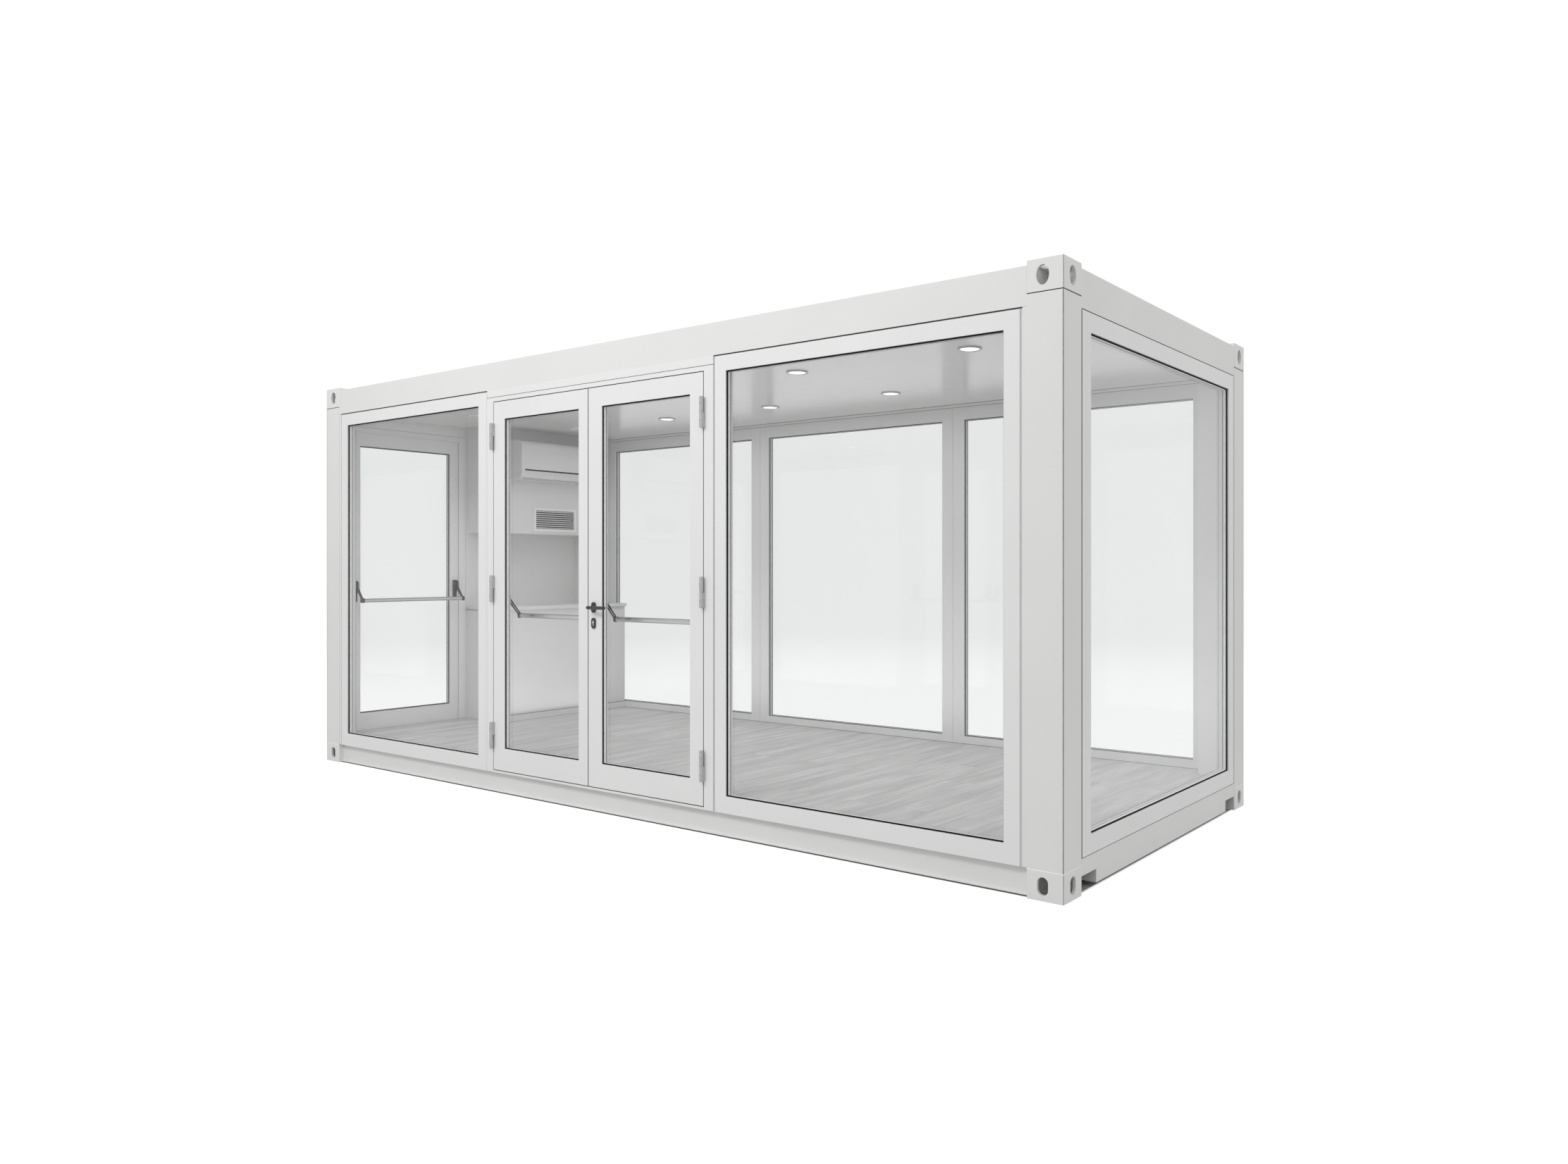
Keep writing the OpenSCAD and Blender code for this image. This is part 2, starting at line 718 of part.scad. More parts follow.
module lever_handle() {
  elbow_y = leaf_y - lever_out;
  color(fitting_grey) {
    translate([lever_x, leaf_y - 0.5, lever_z]) rotate([90, 0, 0]) cylinder(r = lever_neck_r, h = lever_out - 0.5);
    translate([lever_x, elbow_y, lever_z]) sphere(lever_bar_r);
    translate([lever_x, elbow_y, lever_z]) rotate([0, 90, 0]) cylinder(r = lever_bar_r, h = lever_len - lever_bar_r);
    translate([lever_x + lever_len - lever_bar_r, elbow_y, lever_z]) sphere(lever_bar_r);
  }
}

// ---------------------------------------------------------------- push bars
// Cases in the middle of a leaf's stiles: a base plate and a body with a slot for the bar's arm
module bar_case(x, z) {
  slot_w = arm_t + 2 * case_clear;
  difference() {
    translate([x - case_w / 2, leaf_in, z - case_h / 2]) rotate([90, 0, 90])
      linear_extrude(case_w) case_side();
    translate([x - slot_w / 2, leaf_in + case_plate_t - case_clear, z - case_h / 2 - 1])
      cube([slot_w, case_d, case_h - 12]);
    translate([x - case_w / 2 - 1, leaf_in + pivot_in, z + pivot_over_mid]) rotate([0, 90, 0])
      cylinder(r = pivot_r + pin_play, h = case_w + 2);
  }
}
module case_side() {
  polygon([[0, 0], [case_plate_t, 0], [case_plate_t, 56], [case_d, 104], [case_d, case_h - 14],
           [case_d - 16, case_h], [0, case_h]]);
}

// Bar on two slotted arms, each clamped round the bar's end
module push_bar(x0, x1, z) {
  pivot = [leaf_in + pivot_in, z + pivot_up];
  bar = [leaf_in + bar_out, z];
  run = bar[0] - pivot[0];
  reach = sqrt(run * run + pivot_up * pivot_up);
  lean = atan2(-pivot_up, run);
  for (x = [x0, x1]) {
    translate([x - arm_t / 2, 0, 0]) rotate([90, 0, 90]) linear_extrude(arm_t) difference() {
      union() {
        translate(pivot) circle(arm_w / 2);
        translate(pivot) rotate(lean) translate([0, -arm_w / 2]) square([reach, arm_w]);
      }
      translate(pivot) rotate(lean) translate([14, -arm_slot / 2]) square([reach - 36, arm_slot]);
    }
    for (end = [x - case_w / 2 + 2, x + arm_t / 2 - 1])
      translate([end, pivot[0], pivot[1]]) rotate([0, 90, 0])
        cylinder(r = pivot_r, h = (case_w - arm_t) / 2 - 1);
    translate([x - clamp_w / 2, bar[0], bar[1]]) rotate([90, 0, 90]) linear_extrude(clamp_w)
      obround(bar_w + 2 * clamp_wall, bar_h + 2 * clamp_wall);
  }
  translate([x0, bar[0], bar[1]]) rotate([90, 0, 90]) linear_extrude(x1 - x0) obround(bar_w, bar_h);
}

function case_xs(box, insets) = [box[0] + insets[0] / 2, box[2] - insets[2] / 2];
left_case_xs = case_xs(left_leaf_box, left_leaf_insets);
right_case_xs = case_xs(right_leaf_box, right_leaf_insets);
end_case_xs = case_xs(end_leaf_box, end_leaf_insets);
case_mid = bar_z + pivot_up - pivot_over_mid;
end_case_mid = end_bar_z + pivot_up - pivot_over_mid;

module left_bar_cases() { color(fitting_grey) for (x = left_case_xs) bar_case(x, case_mid); }
module right_bar_cases() { color(fitting_grey) for (x = right_case_xs) bar_case(x, case_mid); }
module end_bar_cases() { color(fitting_grey) on_door_end() for (x = end_case_xs) bar_case(x, end_case_mid); }
module left_push_bar() { color(bar_silver) push_bar(left_case_xs[0], left_case_xs[1], bar_z); }
module right_push_bar() { color(bar_silver) push_bar(right_case_xs[0], right_case_xs[1], bar_z); }
module end_push_bar() { color(bar_silver) on_door_end() push_bar(end_case_xs[0], end_case_xs[1], end_bar_z); }

// ---------------------------------------------------------------- door end wall and technical corner
module end_wall() {
  door_r = end_door_y + end_door_w;
  wall_r = module_w - end_post_w - end_lip - joint;
  color(frame_white) on_door_end() slab([door_r + joint, sill_z, wall_r, rail_z], frame_y, frame_in);
}

module ceiling_box() {
  t = board_t;
  color(frame_white) difference() {
    union() {
      translate([box_x - t, corner_y, box_z]) cube([t, corner_end - corner_y, ceiling_z - box_z]);
      translate([frame_in, corner_y, box_z]) cube([box_x - frame_in, corner_end - corner_y, t]);
      translate([frame_in, corner_y, box_z]) cube([box_x - frame_in, t, ceiling_z - box_z]);
    }
    translate([box_x - t - 1, grille_y + 15, grille_z + 15]) cube([t + 2, grille_w - 30, grille_h - 30]);
  }
}

module vent_grille() {
  face = 22;
  blades = 9;
  pitch = (grille_h - 2 * face) / blades;
  color(frame_white) translate([box_x, grille_y, grille_z]) {
    difference() {
      cube([10, grille_w, grille_h]);
      translate([-1, face, face]) cube([12, grille_w - 2 * face, grille_h - 2 * face]);
    }
    for (i = [0 : blades - 1]) translate([5, face - 1, face + (i + 0.5) * pitch]) rotate([0, 40, 0])
      translate([-5, 0, -1]) cube([10, grille_w - 2 * face + 2, 2]);
  }
}

// Indoor unit: rounded casing with an outlet slot, two fine lines under it and a flap below
module air_conditioner() {
  r = 45;
  slot_z = 66;
  color(frame_white) translate([box_x, ac_y, ac_z]) {
    difference() {
      translate([0, ac_len, 0]) rotate([90, 0, 0]) linear_extrude(ac_len) ac_side(r);
      translate([ac_d - 70, 30, -1]) cube([50, ac_len - 60, 40]);
      translate([ac_d - 40, 34, slot_z]) cube([41, ac_len - 64, 13]);
      for (z = [slot_z - 14, slot_z - 28]) translate([ac_d - 3, 34, z]) cube([4, ac_len - 64, 2]);
    }
    translate([ac_d - 66, 32, 10]) rotate([0, -12, 0]) cube([42, ac_len - 64, 3]);
    for (y = [0, ac_len - 30]) translate([ac_d - 66, y + 2 * (y > 0 ? -1 : 14), 12]) cube([6, 4, 4]);
  }
}
module ac_side(r) {
  square([ac_d - r, ac_h]);
  translate([0, r]) square([ac_d, ac_h - 2 * r]);
  translate([ac_d - r, r]) circle(r);
  translate([ac_d - r, ac_h - r]) circle(r);
}

plinth_h = 52;
plinth_t = 12;
shadow_gap = 12;
module counter_base() {
  t = board_t;
  h = counter_z - counter_t - floor_z;
  color(board_grey) translate([0, 0, floor_z]) {
    difference() {
      union() {
        translate([counter_x - t, corner_y, 0]) cube([t, corner_end - corner_y, h]);
        translate([frame_in, corner_y, 0]) cube([counter_x - frame_in, t, h]);
      }
      translate([frame_in - 1, corner_y - 1, h - shadow_gap]) cube([counter_x, 1 + t / 2, shadow_gap + 1]);
    }
    translate([counter_x, corner_y, 0]) cube([plinth_t, corner_end - corner_y, plinth_h]);
  }
}
module counter_top() {
  color([0.88, 0.88, 0.87])
    translate([frame_in, corner_y - 10, counter_z - counter_t])
      cube([counter_x + 25 - frame_in, corner_end - corner_y + 10, counter_t]);
}

module downlights() {
  color("white")
    for (p = light_spots()) translate([p[0], p[1], ceiling_z]) {
      translate([0, 0, -4]) cylinder(r = light_flange_r, h = 4);
      cylinder(r = light_can_r, h = ceiling_t + 6);
    }
}

// ---------------------------------------------------------------- assembly
in_frame() {
  corner_castings();
  corner_posts();
  post_linings();
  roof_rails();
  roof_sheet();
  roof_beams();
  ceiling();
  floor_rails();
  floor_bearers();
  floor_deck();
  front_left_frame();
  front_right_frame();
  end_frame();
  back_frames();
  back_infill();
  front_glass();
  end_glass();
  back_glass();
  glazing_gaskets();
  door_frame();
  door_headers();
  end_door_frame();
  frame_hinges();
  end_wall();
  ceiling_box();
  vent_grille();
  air_conditioner();
  counter_base();
  counter_top();
  downlights();
  left_leaf();
  left_leaf_glass();
  left_leaf_gaskets();
  left_leaf_hinges();
  left_bar_cases();
  right_leaf();
  right_leaf_glass();
  right_leaf_gaskets();
  right_leaf_hinges();
  right_bar_cases();
  lock_plates();
  end_leaf();
  end_leaf_glass();
  end_leaf_gaskets();
  end_leaf_hinges();
  end_bar_cases();
  lever_handle();
  left_push_bar();
  right_push_bar();
  end_push_bar();
}
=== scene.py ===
import json
import math

import bmesh
import bpy
from mathutils import Matrix, Vector

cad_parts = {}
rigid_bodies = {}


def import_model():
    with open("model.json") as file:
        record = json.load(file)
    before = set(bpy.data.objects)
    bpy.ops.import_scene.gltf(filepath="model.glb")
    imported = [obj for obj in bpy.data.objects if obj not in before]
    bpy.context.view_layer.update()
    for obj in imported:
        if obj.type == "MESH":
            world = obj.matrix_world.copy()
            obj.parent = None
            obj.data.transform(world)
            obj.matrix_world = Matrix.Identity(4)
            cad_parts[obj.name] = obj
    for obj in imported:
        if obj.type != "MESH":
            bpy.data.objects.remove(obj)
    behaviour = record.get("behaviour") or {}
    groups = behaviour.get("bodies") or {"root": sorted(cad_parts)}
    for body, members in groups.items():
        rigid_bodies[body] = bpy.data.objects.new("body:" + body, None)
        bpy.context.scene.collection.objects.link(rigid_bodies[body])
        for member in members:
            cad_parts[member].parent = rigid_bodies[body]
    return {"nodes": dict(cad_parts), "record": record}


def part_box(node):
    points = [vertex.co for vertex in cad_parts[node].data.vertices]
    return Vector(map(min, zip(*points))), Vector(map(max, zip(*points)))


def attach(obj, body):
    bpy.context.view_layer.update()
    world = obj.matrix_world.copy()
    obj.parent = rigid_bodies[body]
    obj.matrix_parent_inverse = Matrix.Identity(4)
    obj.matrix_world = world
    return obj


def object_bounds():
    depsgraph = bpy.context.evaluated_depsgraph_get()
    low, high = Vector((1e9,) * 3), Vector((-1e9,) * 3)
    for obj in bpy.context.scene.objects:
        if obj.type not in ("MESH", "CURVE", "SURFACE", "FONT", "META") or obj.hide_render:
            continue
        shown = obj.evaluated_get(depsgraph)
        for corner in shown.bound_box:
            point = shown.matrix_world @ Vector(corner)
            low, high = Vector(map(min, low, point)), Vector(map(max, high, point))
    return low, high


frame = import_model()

cad_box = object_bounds()
nodes = frame["nodes"]

# ---------------------------------------------------------------- the view
# The module's outer faces, from its castings
(west, south, _), (east, north, roof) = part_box("corner_castings")
VIEW_X = west + 8.129
VIEW_Y = south - 4.219
VIEW_Z = 1.429
HEADING = math.radians(35.78)
IMAGE_W = 2225.0
FOCAL = 1551.88
SENSOR = 36.0
SHIFT_X = -0.0604
SHIFT_Y = -0.0086

# Sizes that the pieces share, in metres
CLAMP_W = 0.024
HINGE_R = 0.012
LAMP_PITCH = 1.060
UNLIT_X = west + 1.2
CASTING_SIDE = 0.178
DOOR_POST_W = 0.099
FRAME_IN = 0.056
SKIRTING_T = 0.012
SKIRTING_H = 0.052
BOARD_T = 0.018
UNIT_T = 0.024

# Tints of the coatings
STEEL_TINT = (1.0, 1.0, 0.985)
LINING_TINT = (1.0, 1.0, 0.99)
PROFILE_TINT = (1.0, 1.0, 0.995)


def set_view():
    """Camera at eye level, off the corner of the double door and the glass end."""
    data = bpy.data.cameras.new("view")
    data.lens = FOCAL / IMAGE_W * SENSOR
    data.sensor_width = SENSOR
    data.shift_x = SHIFT_X
    data.shift_y = SHIFT_Y
    cam = bpy.data.objects.new("view", data)
    cam.location = (VIEW_X, VIEW_Y, VIEW_Z)
    cam.rotation_euler = (math.radians(90), 0, HEADING)
    bpy.context.scene.collection.objects.link(cam)
    bpy.context.scene.camera = cam


# ---------------------------------------------------------------- materials
class Finish:
    """A node material with one Principled shader and object coordinates."""

    def __init__(self, name, color, rough, metal=0.0):
        self.mat = bpy.data.materials.new(name)
        self.mat.use_nodes = True
        self.tree = self.mat.node_tree
        self.shader = self.tree.nodes["Principled BSDF"]
        self.shader.inputs["Base Color"].default_value = (*color, 1)
        self.shader.inputs["Roughness"].default_value = rough
        self.shader.inputs["Metallic"].default_value = metal
        self.coords = self.add("ShaderNodeTexCoord").outputs["Object"]

    def add(self, kind, **values):
        """New node, with its properties and inputs set by name."""
        node = self.tree.nodes.new(kind)
        for key, value in values.items():
            if hasattr(node, key):
                setattr(node, key, value)
            else:
                node.inputs[key.replace("_", " ")].default_value = value
        return node

    def link(self, a, b):
        self.tree.links.new(a, b)

    def stretched(self, scale):
        mapping = self.add("ShaderNodeMapping", Scale=scale)
        self.link(self.coords, mapping.inputs["Vector"])
        return mapping.outputs["Vector"]

    def noise(self, scale, detail, where=None, roughness=0.5):
        node = self.add("ShaderNodeTexNoise", Scale=scale, Detail=detail, Roughness=roughness)
        self.link(where or self.coords, node.inputs["Vector"])
        return node.outputs["Fac"]

    def ramp(self, fac, low, high, a=0.3, b=0.7):
        """Colour from low, where fac is a, to high, where it is b."""
        node = self.add("ShaderNodeValToRGB")
        node.color_ramp.elements[0].position = a
        node.color_ramp.elements[1].position = b
        node.color_ramp.elements[0].color = (*low, 1)
        node.color_ramp.elements[1].color = (*high, 1)
        self.link(fac, node.inputs["Fac"])
        return node.outputs["Color"]

    def span(self, fac, low, high):
        """Number from low, where fac is 0, to high, where it is 1."""
        node = self.add("ShaderNodeMapRange", To_Min=low, To_Max=high)
        self.link(fac, node.inputs["Value"])
        return node.outputs["Result"]

    def color(self, socket):
        self.link(socket, self.shader.inputs["Base Color"])

    def rough(self, socket):
        self.link(socket, self.shader.inputs["Roughness"])

    def math(self, operation, a, b=0):
        """Result of a sum on two values, each a number or a socket."""
        node = self.add("ShaderNodeMath", operation=operation)
        for given, socket in ((a, node.inputs[0]), (b, node.inputs[1])):
            if isinstance(given, (int, float)):
                socket.default_value = given
            else:
                self.link(given, socket)
        return node.outputs["Value"]

    def axis(self, letter):
        split = self.add("ShaderNodeSeparateXYZ")
        self.link(self.coords, split.inputs["Vector"])
        return split.outputs[letter]

    def from_middle(self, letter, low, high):
        """How far a point lies from the middle between low and high."""
        offset = self.math("SUBTRACT", self.axis(letter), (low + high) / 2)
        return self.math("ABSOLUTE", offset)

    def beyond(self, letter, low, high, margin):
        """1 where a point lies less than margin inside low or high, or outside them."""
        reach = (high - low) / 2 - margin
        return self.math("GREATER_THAN", self.from_middle(letter, low, high), reach)

    def beyond_soft(self, letter, low, high, start, end):
        """0 between low and high, rising from start to end metres inside them to 1."""
        half = (high - low) / 2
        rise = self.add("ShaderNodeMapRange", From_Min=half - start, From_Max=half - end)
        self.link(self.from_middle(letter, low, high), rise.inputs["Value"])
        return rise.outputs["Result"]

    def within(self, letter, low, high):
        """1 where a point lies between low and high."""
        return self.math("LESS_THAN", self.from_middle(letter, low, high), (high - low) / 2)

    def both(self, a, b):
        return self.math("MULTIPLY", a, b)

    def either(self, a, b):
        return self.math("MAXIMUM", a, b)

    def blend(self, fac, plain, marked):
        """Colour plain, where fac is 0, to marked, where it is 1."""
        node = self.add("ShaderNodeMix", data_type="RGBA")
        self.link(fac, node.inputs["Factor"])
        self.link(plain, node.inputs["A"])
        self.link(marked, node.inputs["B"])
        return node.outputs["Result"]

    def bump(self, height, distance, strength):
        node = self.add("ShaderNodeBump", Distance=distance, Strength=strength)
        self.link(height, node.inputs["Height"])
        self.link(node.outputs["Normal"], self.shader.inputs["Normal"])


def shade(value, tint=(1, 1, 1)):
    """Linear colour of a display grey."""
    lin = ((value / 255 + 0.055) / 1.055) ** 2.4
    return tuple(lin * t for t in tint)


def powder_coat(name, grey, tint, rough, corner_shade=0):
    """Baked coating: faint cloudiness, fine orange peel and, where asked, a thin dark line of
    painted shade along the corners.
    """
    f = Finish(name, shade(grey, tint), rough)
    paint = f.ramp(f.noise(1.3, 3), shade(grey - 3, tint), shade(grey + 1, tint))
    # painted shade: a thin dark line where a point lies within the given margin of both an X face
    # and a Y face of the module
    if corner_shade:
        line = f.both(f.beyond("X", west, east, corner_shade), f.beyond("Y", south, north, corner_shade))
        paint = f.blend(line, paint, f.ramp(f.noise(30, 2), shade(grey - 120), shade(grey - 96)))
    f.color(paint)
    f.rough(f.span(f.noise(9, 2), rough - 0.05, rough + 0.06))
    f.bump(f.noise(420, 1), 0.0006, 0.25)
    return f.mat


def clear_glass(name):
    """Sealed unit: clear and neutral, with a mirror sheen at low angles."""
    polish = 0.02
    f = Finish(name, (1, 1, 1), polish)
    f.tree.nodes.remove(f.shader)
    see = f.add("ShaderNodeBsdfTransparent")
    cast = f.ramp(f.noise(0.8, 2), (0.944, 0.947, 0.946), (0.952, 0.955, 0.954))
    f.link(cast, see.inputs["Color"])
    shine = f.add("ShaderNodeBsdfAnisotropic")
    shine.inputs["Roughness"].default_value = polish
    shine.inputs["Color"].default_value = (0.92, 0.93, 0.93, 1)
    slant = f.add("ShaderNodeLayerWeight", Blend=0.5)
    rise = f.add("ShaderNodeMath", operation="POWER")
    f.link(slant.outputs["Facing"], rise.inputs[0])
    rise.inputs[1].default_value = 5.0
    mix = f.add("ShaderNodeMixShader")
    f.link(f.span(rise.outputs["Value"], 0.035, 0.9), mix.inputs["Fac"])
    f.link(see.outputs["BSDF"], mix.inputs[1])
    f.link(shine.outputs["BSDF"], mix.inputs[2])
    f.link(mix.outputs["Shader"], f.tree.nodes["Material Output"].inputs["Surface"])
    return f.mat


def rubber(name, grey):
    """Dull rubber, sealant or cloth with a fine grain."""
    f = Finish(name, shade(grey), 0.8)
    f.shader.inputs["Specular IOR Level"].default_value = 0.2
    f.color(f.ramp(f.noise(60, 3), shade(grey - 8), shade(grey + 10)))
    f.bump(f.noise(900, 1), 0.0003, 0.4)
    return f.mat


def two_tone_rubber(name):
    """Black glazing rubber, with the pale inner seals of the front and of the glass end."""
    f = Finish(name, shade(28), 0.8)
    f.shader.inputs["Specular IOR Level"].default_value = 0.15
    black = f.ramp(f.noise(60, 3), shade(18), shade(32))
    pale = f.ramp(f.noise(60, 3), shade(206), shade(216))
    near, far = 0.025, 0.065
    inner_front = f.within("Y", south + near, south + far)
    inner_end = f.within("X", east - far, east - near)
    f.color(f.blend(f.either(inner_front, inner_end), black, pale))
    f.bump(f.noise(900, 1), 0.0003, 0.4)
    return f.mat


def plank_floor(name):
    """Pale grey planks, 190 mm wide and 1.22 m long, that run across the module."""
    f = Finish(name, shade(196), 0.55)
    f.shader.inputs["Specular IOR Level"].default_value = 0.35
    plank = f.add("ShaderNodeTexBrick", Scale=1.0, Mortar_Size=0.0012, Mortar_Smooth=0.2,
                  Brick_Width=1.22, Row_Height=0.19, offset=0.37, offset_frequency=2, Bias=0.0)
    turn = f.add("ShaderNodeMapping", Rotation=(0, 0, math.radians(90)))
    f.link(f.coords, turn.inputs["Vector"])
    f.link(turn.outputs["Vector"], plank.inputs["Vector"])
    plank.inputs["Color1"].default_value = (0.0, 0.0, 0.0, 1)
    plank.inputs["Color2"].default_value = (1.0, 1.0, 1.0, 1)
    plank.inputs["Mortar"].default_value = (0.5, 0.5, 0.5, 1)
    # each plank has a tone of its own, which moves the grain
    tone = f.add("ShaderNodeRGBToBW")
    f.link(plank.outputs["Color"], tone.inputs["Color"])
    shift = f.add("ShaderNodeCombineXYZ")
    f.link(tone.outputs["Val"], shift.inputs["X"])
    moved = f.add("ShaderNodeVectorMath", operation="MULTIPLY_ADD")
    f.link(shift.outputs["Vector"], moved.inputs[0])
    moved.inputs[1].default_value = (7.3, 3.1, 0)
    f.link(f.coords, moved.inputs[2])
    long = f.add("ShaderNodeMapping", Scale=(9.0, 0.9, 1.0))
    f.link(moved.outputs["Vector"], long.inputs["Vector"])
    streak = f.noise(1.6, 5, long.outputs["Vector"], 0.6)
    fine = f.add("ShaderNodeMapping", Scale=(70.0, 2.5, 1.0))
    f.link(moved.outputs["Vector"], fine.inputs["Vector"])
    grain = f.noise(3.0, 3, fine.outputs["Vector"], 0.6)
    base = f.ramp(streak, shade(183, (1, 0.985, 0.985)), shade(214, (1, 0.99, 0.985)), 0.32, 0.66)
    detail = f.ramp(grain, (0.90, 0.90, 0.90), (1.04, 1.04, 1.04))
    both = f.add("ShaderNodeMix", data_type="RGBA", blend_type="MULTIPLY")
    both.inputs["Factor"].default_value = 1.0
    f.link(base, both.inputs["A"])
    f.link(detail, both.inputs["B"])
    seam = f.add("ShaderNodeMix", data_type="RGBA")
    f.link(plank.outputs["Fac"], seam.inputs["Factor"])
    f.link(both.outputs["Result"], seam.inputs["A"])
    seam.inputs["B"].default_value = (*shade(150), 1)
    f.color(seam.outputs["Result"])
    f.rough(f.span(grain, 0.5, 0.62))
    f.bump(grain, 0.0004, 0.3)
    return f.mat


def satin_metal(name, grey, rough, along=(4, 400, 400)):
    """Metal with fine lines along it: along = how often they change in X, Y and Z."""
    f = Finish(name, shade(grey), rough, 1.0)
    line = f.noise(1.0, 2, f.stretched(along))
    f.color(f.ramp(line, shade(grey - 8), shade(grey + 6)))
    f.rough(f.span(line, rough - 0.06, rough + 0.08))
    return f.mat


def clamped_tube(name, axis, low, high):
    """Silver tube along an axis, whose clamps and arms at both ends are coated dark."""
    f = Finish(name, shade(205), 0.28, 1.0)
    stretch = (4, 400, 400) if axis == "X" else (400, 4, 400)
    line = f.noise(1.0, 2, f.stretched(stretch))
    silver = f.ramp(line, shade(186), shade(206))
    dark = f.ramp(f.noise(40, 3), shade(26), shade(40))
    end = f.beyond(axis, low, high, CLAMP_W + 0.0004)
    f.color(f.blend(end, silver, dark))
    f.link(f.span(end, 1.0, 0.0), f.shader.inputs["Metallic"])
    f.rough(f.span(end, 0.24, 0.5))
    return f.mat


def cast_metal(name, grey, rough, metal):
    """Fitting with a slightly cloudy, pitted surface."""
    f = Finish(name, shade(grey), rough, metal)
    f.color(f.ramp(f.noise(40, 3), shade(grey - 7), shade(grey + 6)))
    f.bump(f.noise(700, 2), 0.0004, 0.35)
    return f.mat


def board(name, grey, rough=0.5):
    """Smooth board or plastic with a faint texture."""
    f = Finish(name, shade(grey), rough)
    f.color(f.ramp(f.noise(2.2, 3), shade(grey - 3), shade(grey + 2)))
    f.bump(f.noise(260, 2), 0.0004, 0.2)
    return f.mat


def lamp_rims(name):
    """Satin rims; the pair beside the end door is painted like the ceiling."""
    f = Finish(name, shade(186), 0.35, 0.4)
    satin = f.ramp(f.noise(40, 3), shade(180), shade(192))
    white = f.ramp(f.noise(1.3, 3), shade(229), shade(233))
    f.color(f.blend(f.within("X", west, UNLIT_X), satin, white))
    f.bump(f.noise(700, 2), 0.0004, 0.35)
    return f.mat


def lamp_glow(name):
    """Lit frosted lens, a little warmer in spots."""
    f = Finish(name, (1, 1, 1), 0.5)
    f.shader.inputs["Emission Strength"].default_value = 1.5
    glow = f.ramp(f.noise(30, 1), (1.0, 0.985, 0.95), (1.0, 0.995, 0.975))
    f.link(glow, f.shader.inputs["Emission Color"])
    return f.mat


steel = powder_coat("steel_coat", 234, STEEL_TINT, 0.45)
# the posts and castings carry the thin painted shade line along the module's corners
post_steel = powder_coat("post_coat", 234, STEEL_TINT, 0.45, corner_shade=0.0056)
casting_steel = powder_coat("casting_coat", 235, STEEL_TINT, 0.45, corner_shade=0.0030)
profile = powder_coat("profile_coat", 238, PROFILE_TINT, 0.38)
lining = powder_coat("lining_coat", 232, LINING_TINT, 0.34)
zinc = satin_metal("roof_zinc", 205, 0.42, (300, 3, 300))
primer = powder_coat("primer_grey", 185, (1, 1, 1), 0.6)
glass = clear_glass("sealed_glass")
gasket = two_tone_rubber("gasket_rubber")
leaf_rubber = rubber("leaf_rubber", 28)
spacer_metal = cast_metal("spacer_metal", 246, 0.5, 0.0)
planks = plank_floor("plank_floor")
# painted shade: the same coat as the front frames, painted darker for the dimmer light the back
# frames get in the room
shaded_back_profile = powder_coat("back_profile_coat", 226, PROFILE_TINT, 0.38)
ceiling_coat = powder_coat("ceiling_coat", 232, LINING_TINT, 0.17)
grille_coat = board("grille_coat", 247, 0.4)
case_black = cast_metal("case_black", 34, 0.5, 0.0)
hinge_metal = cast_metal("hinge_metal", 188, 0.45, 0.1)
dark_metal = cast_metal("dark_fitting", 54, 0.45, 0.2)
tube = satin_metal("satin_tube", 205, 0.28)
joinery = board("joinery_board", 224)
shell_plastic = board("unit_plastic", 224, 0.12)
glow = lamp_glow("lamp_glow")
# dark sealant of the joints, also used for the beads that paint shade lines round the room
sealant = rubber("joint_sealant", 66)
nickel = satin_metal("nickel_plate", 190, 0.3, (200, 200, 200))
rim_metal = lamp_rims("lamp_rim")
# near-black cloth behind the vent grille and in the unit's outlet slot: painted shade in these
# openings
shade_cloth = rubber("shade_cloth", 24)
# a little brighter than the posts' coat: painted highlight on the welds over the bottom castings
weld_highlight_paint = powder_coat("weld_highlight_paint", 244, LINING_TINT, 0.3)

# Finish of each material slot of the CAD
SLOT_FINISH = {
    "steel_white": steel, "frame_white": profile, "lining_white": lining, "roof_steel": zinc,
    "hidden_steel": primer, "floor_grey": planks, "clear_glass": glass, "rubber_black": gasket,
    "hinge_grey": hinge_metal, "fitting_grey": dark_metal, "bar_silver": tube,
    "board_grey": joinery, "unit_white": shell_plastic,
}


def bar_coat(node, axis):
    """Coat of one push bar, dark at both of its own ends."""
    low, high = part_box(node)
    side = "XY".index(axis)
    return clamped_tube(node + "_coat", axis, low[side], high[side])


def finish_frame():
    """Finish for every CAD node: its own one, or else that of its material slot."""
    own = {
        "corner_posts": post_steel, "corner_castings": casting_steel, "back_frames": shaded_back_profile,
        "ceiling": ceiling_coat, "vent_grille": grille_coat, "downlights": rim_metal,
        "left_bar_cases": case_black, "right_bar_cases": case_black, "end_bar_cases": case_black,
    }
    for node, axis in (("left_push_bar", "X"), ("right_push_bar", "X"), ("end_push_bar", "Y")):
        own[node] = bar_coat(node, axis)
    for part in frame["record"]["subparts"]:
        node = nodes[part["node"]]
        coat = own.get(part["node"], SLOT_FINISH[part["material_slot"]])
        if not node.material_slots:
            node.data.materials.append(coat)
        for slot in node.material_slots:
            slot.material = coat


# ---------------------------------------------------------------- mesh help
def as_piece(name, mesh, coat, body, smooth):
    """Object of a mesh that rides on a body; smooth = the angle above which edges stay sharp."""
    mesh.materials.clear()
    mesh.materials.append(coat)
    obj = bpy.data.objects.new(name, mesh)
    bpy.context.scene.collection.objects.link(obj)
    if smooth:
        for poly in mesh.polygons:
            poly.use_smooth = True
        mesh.set_sharp_from_angle(angle=math.radians(smooth))
    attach(obj, body)


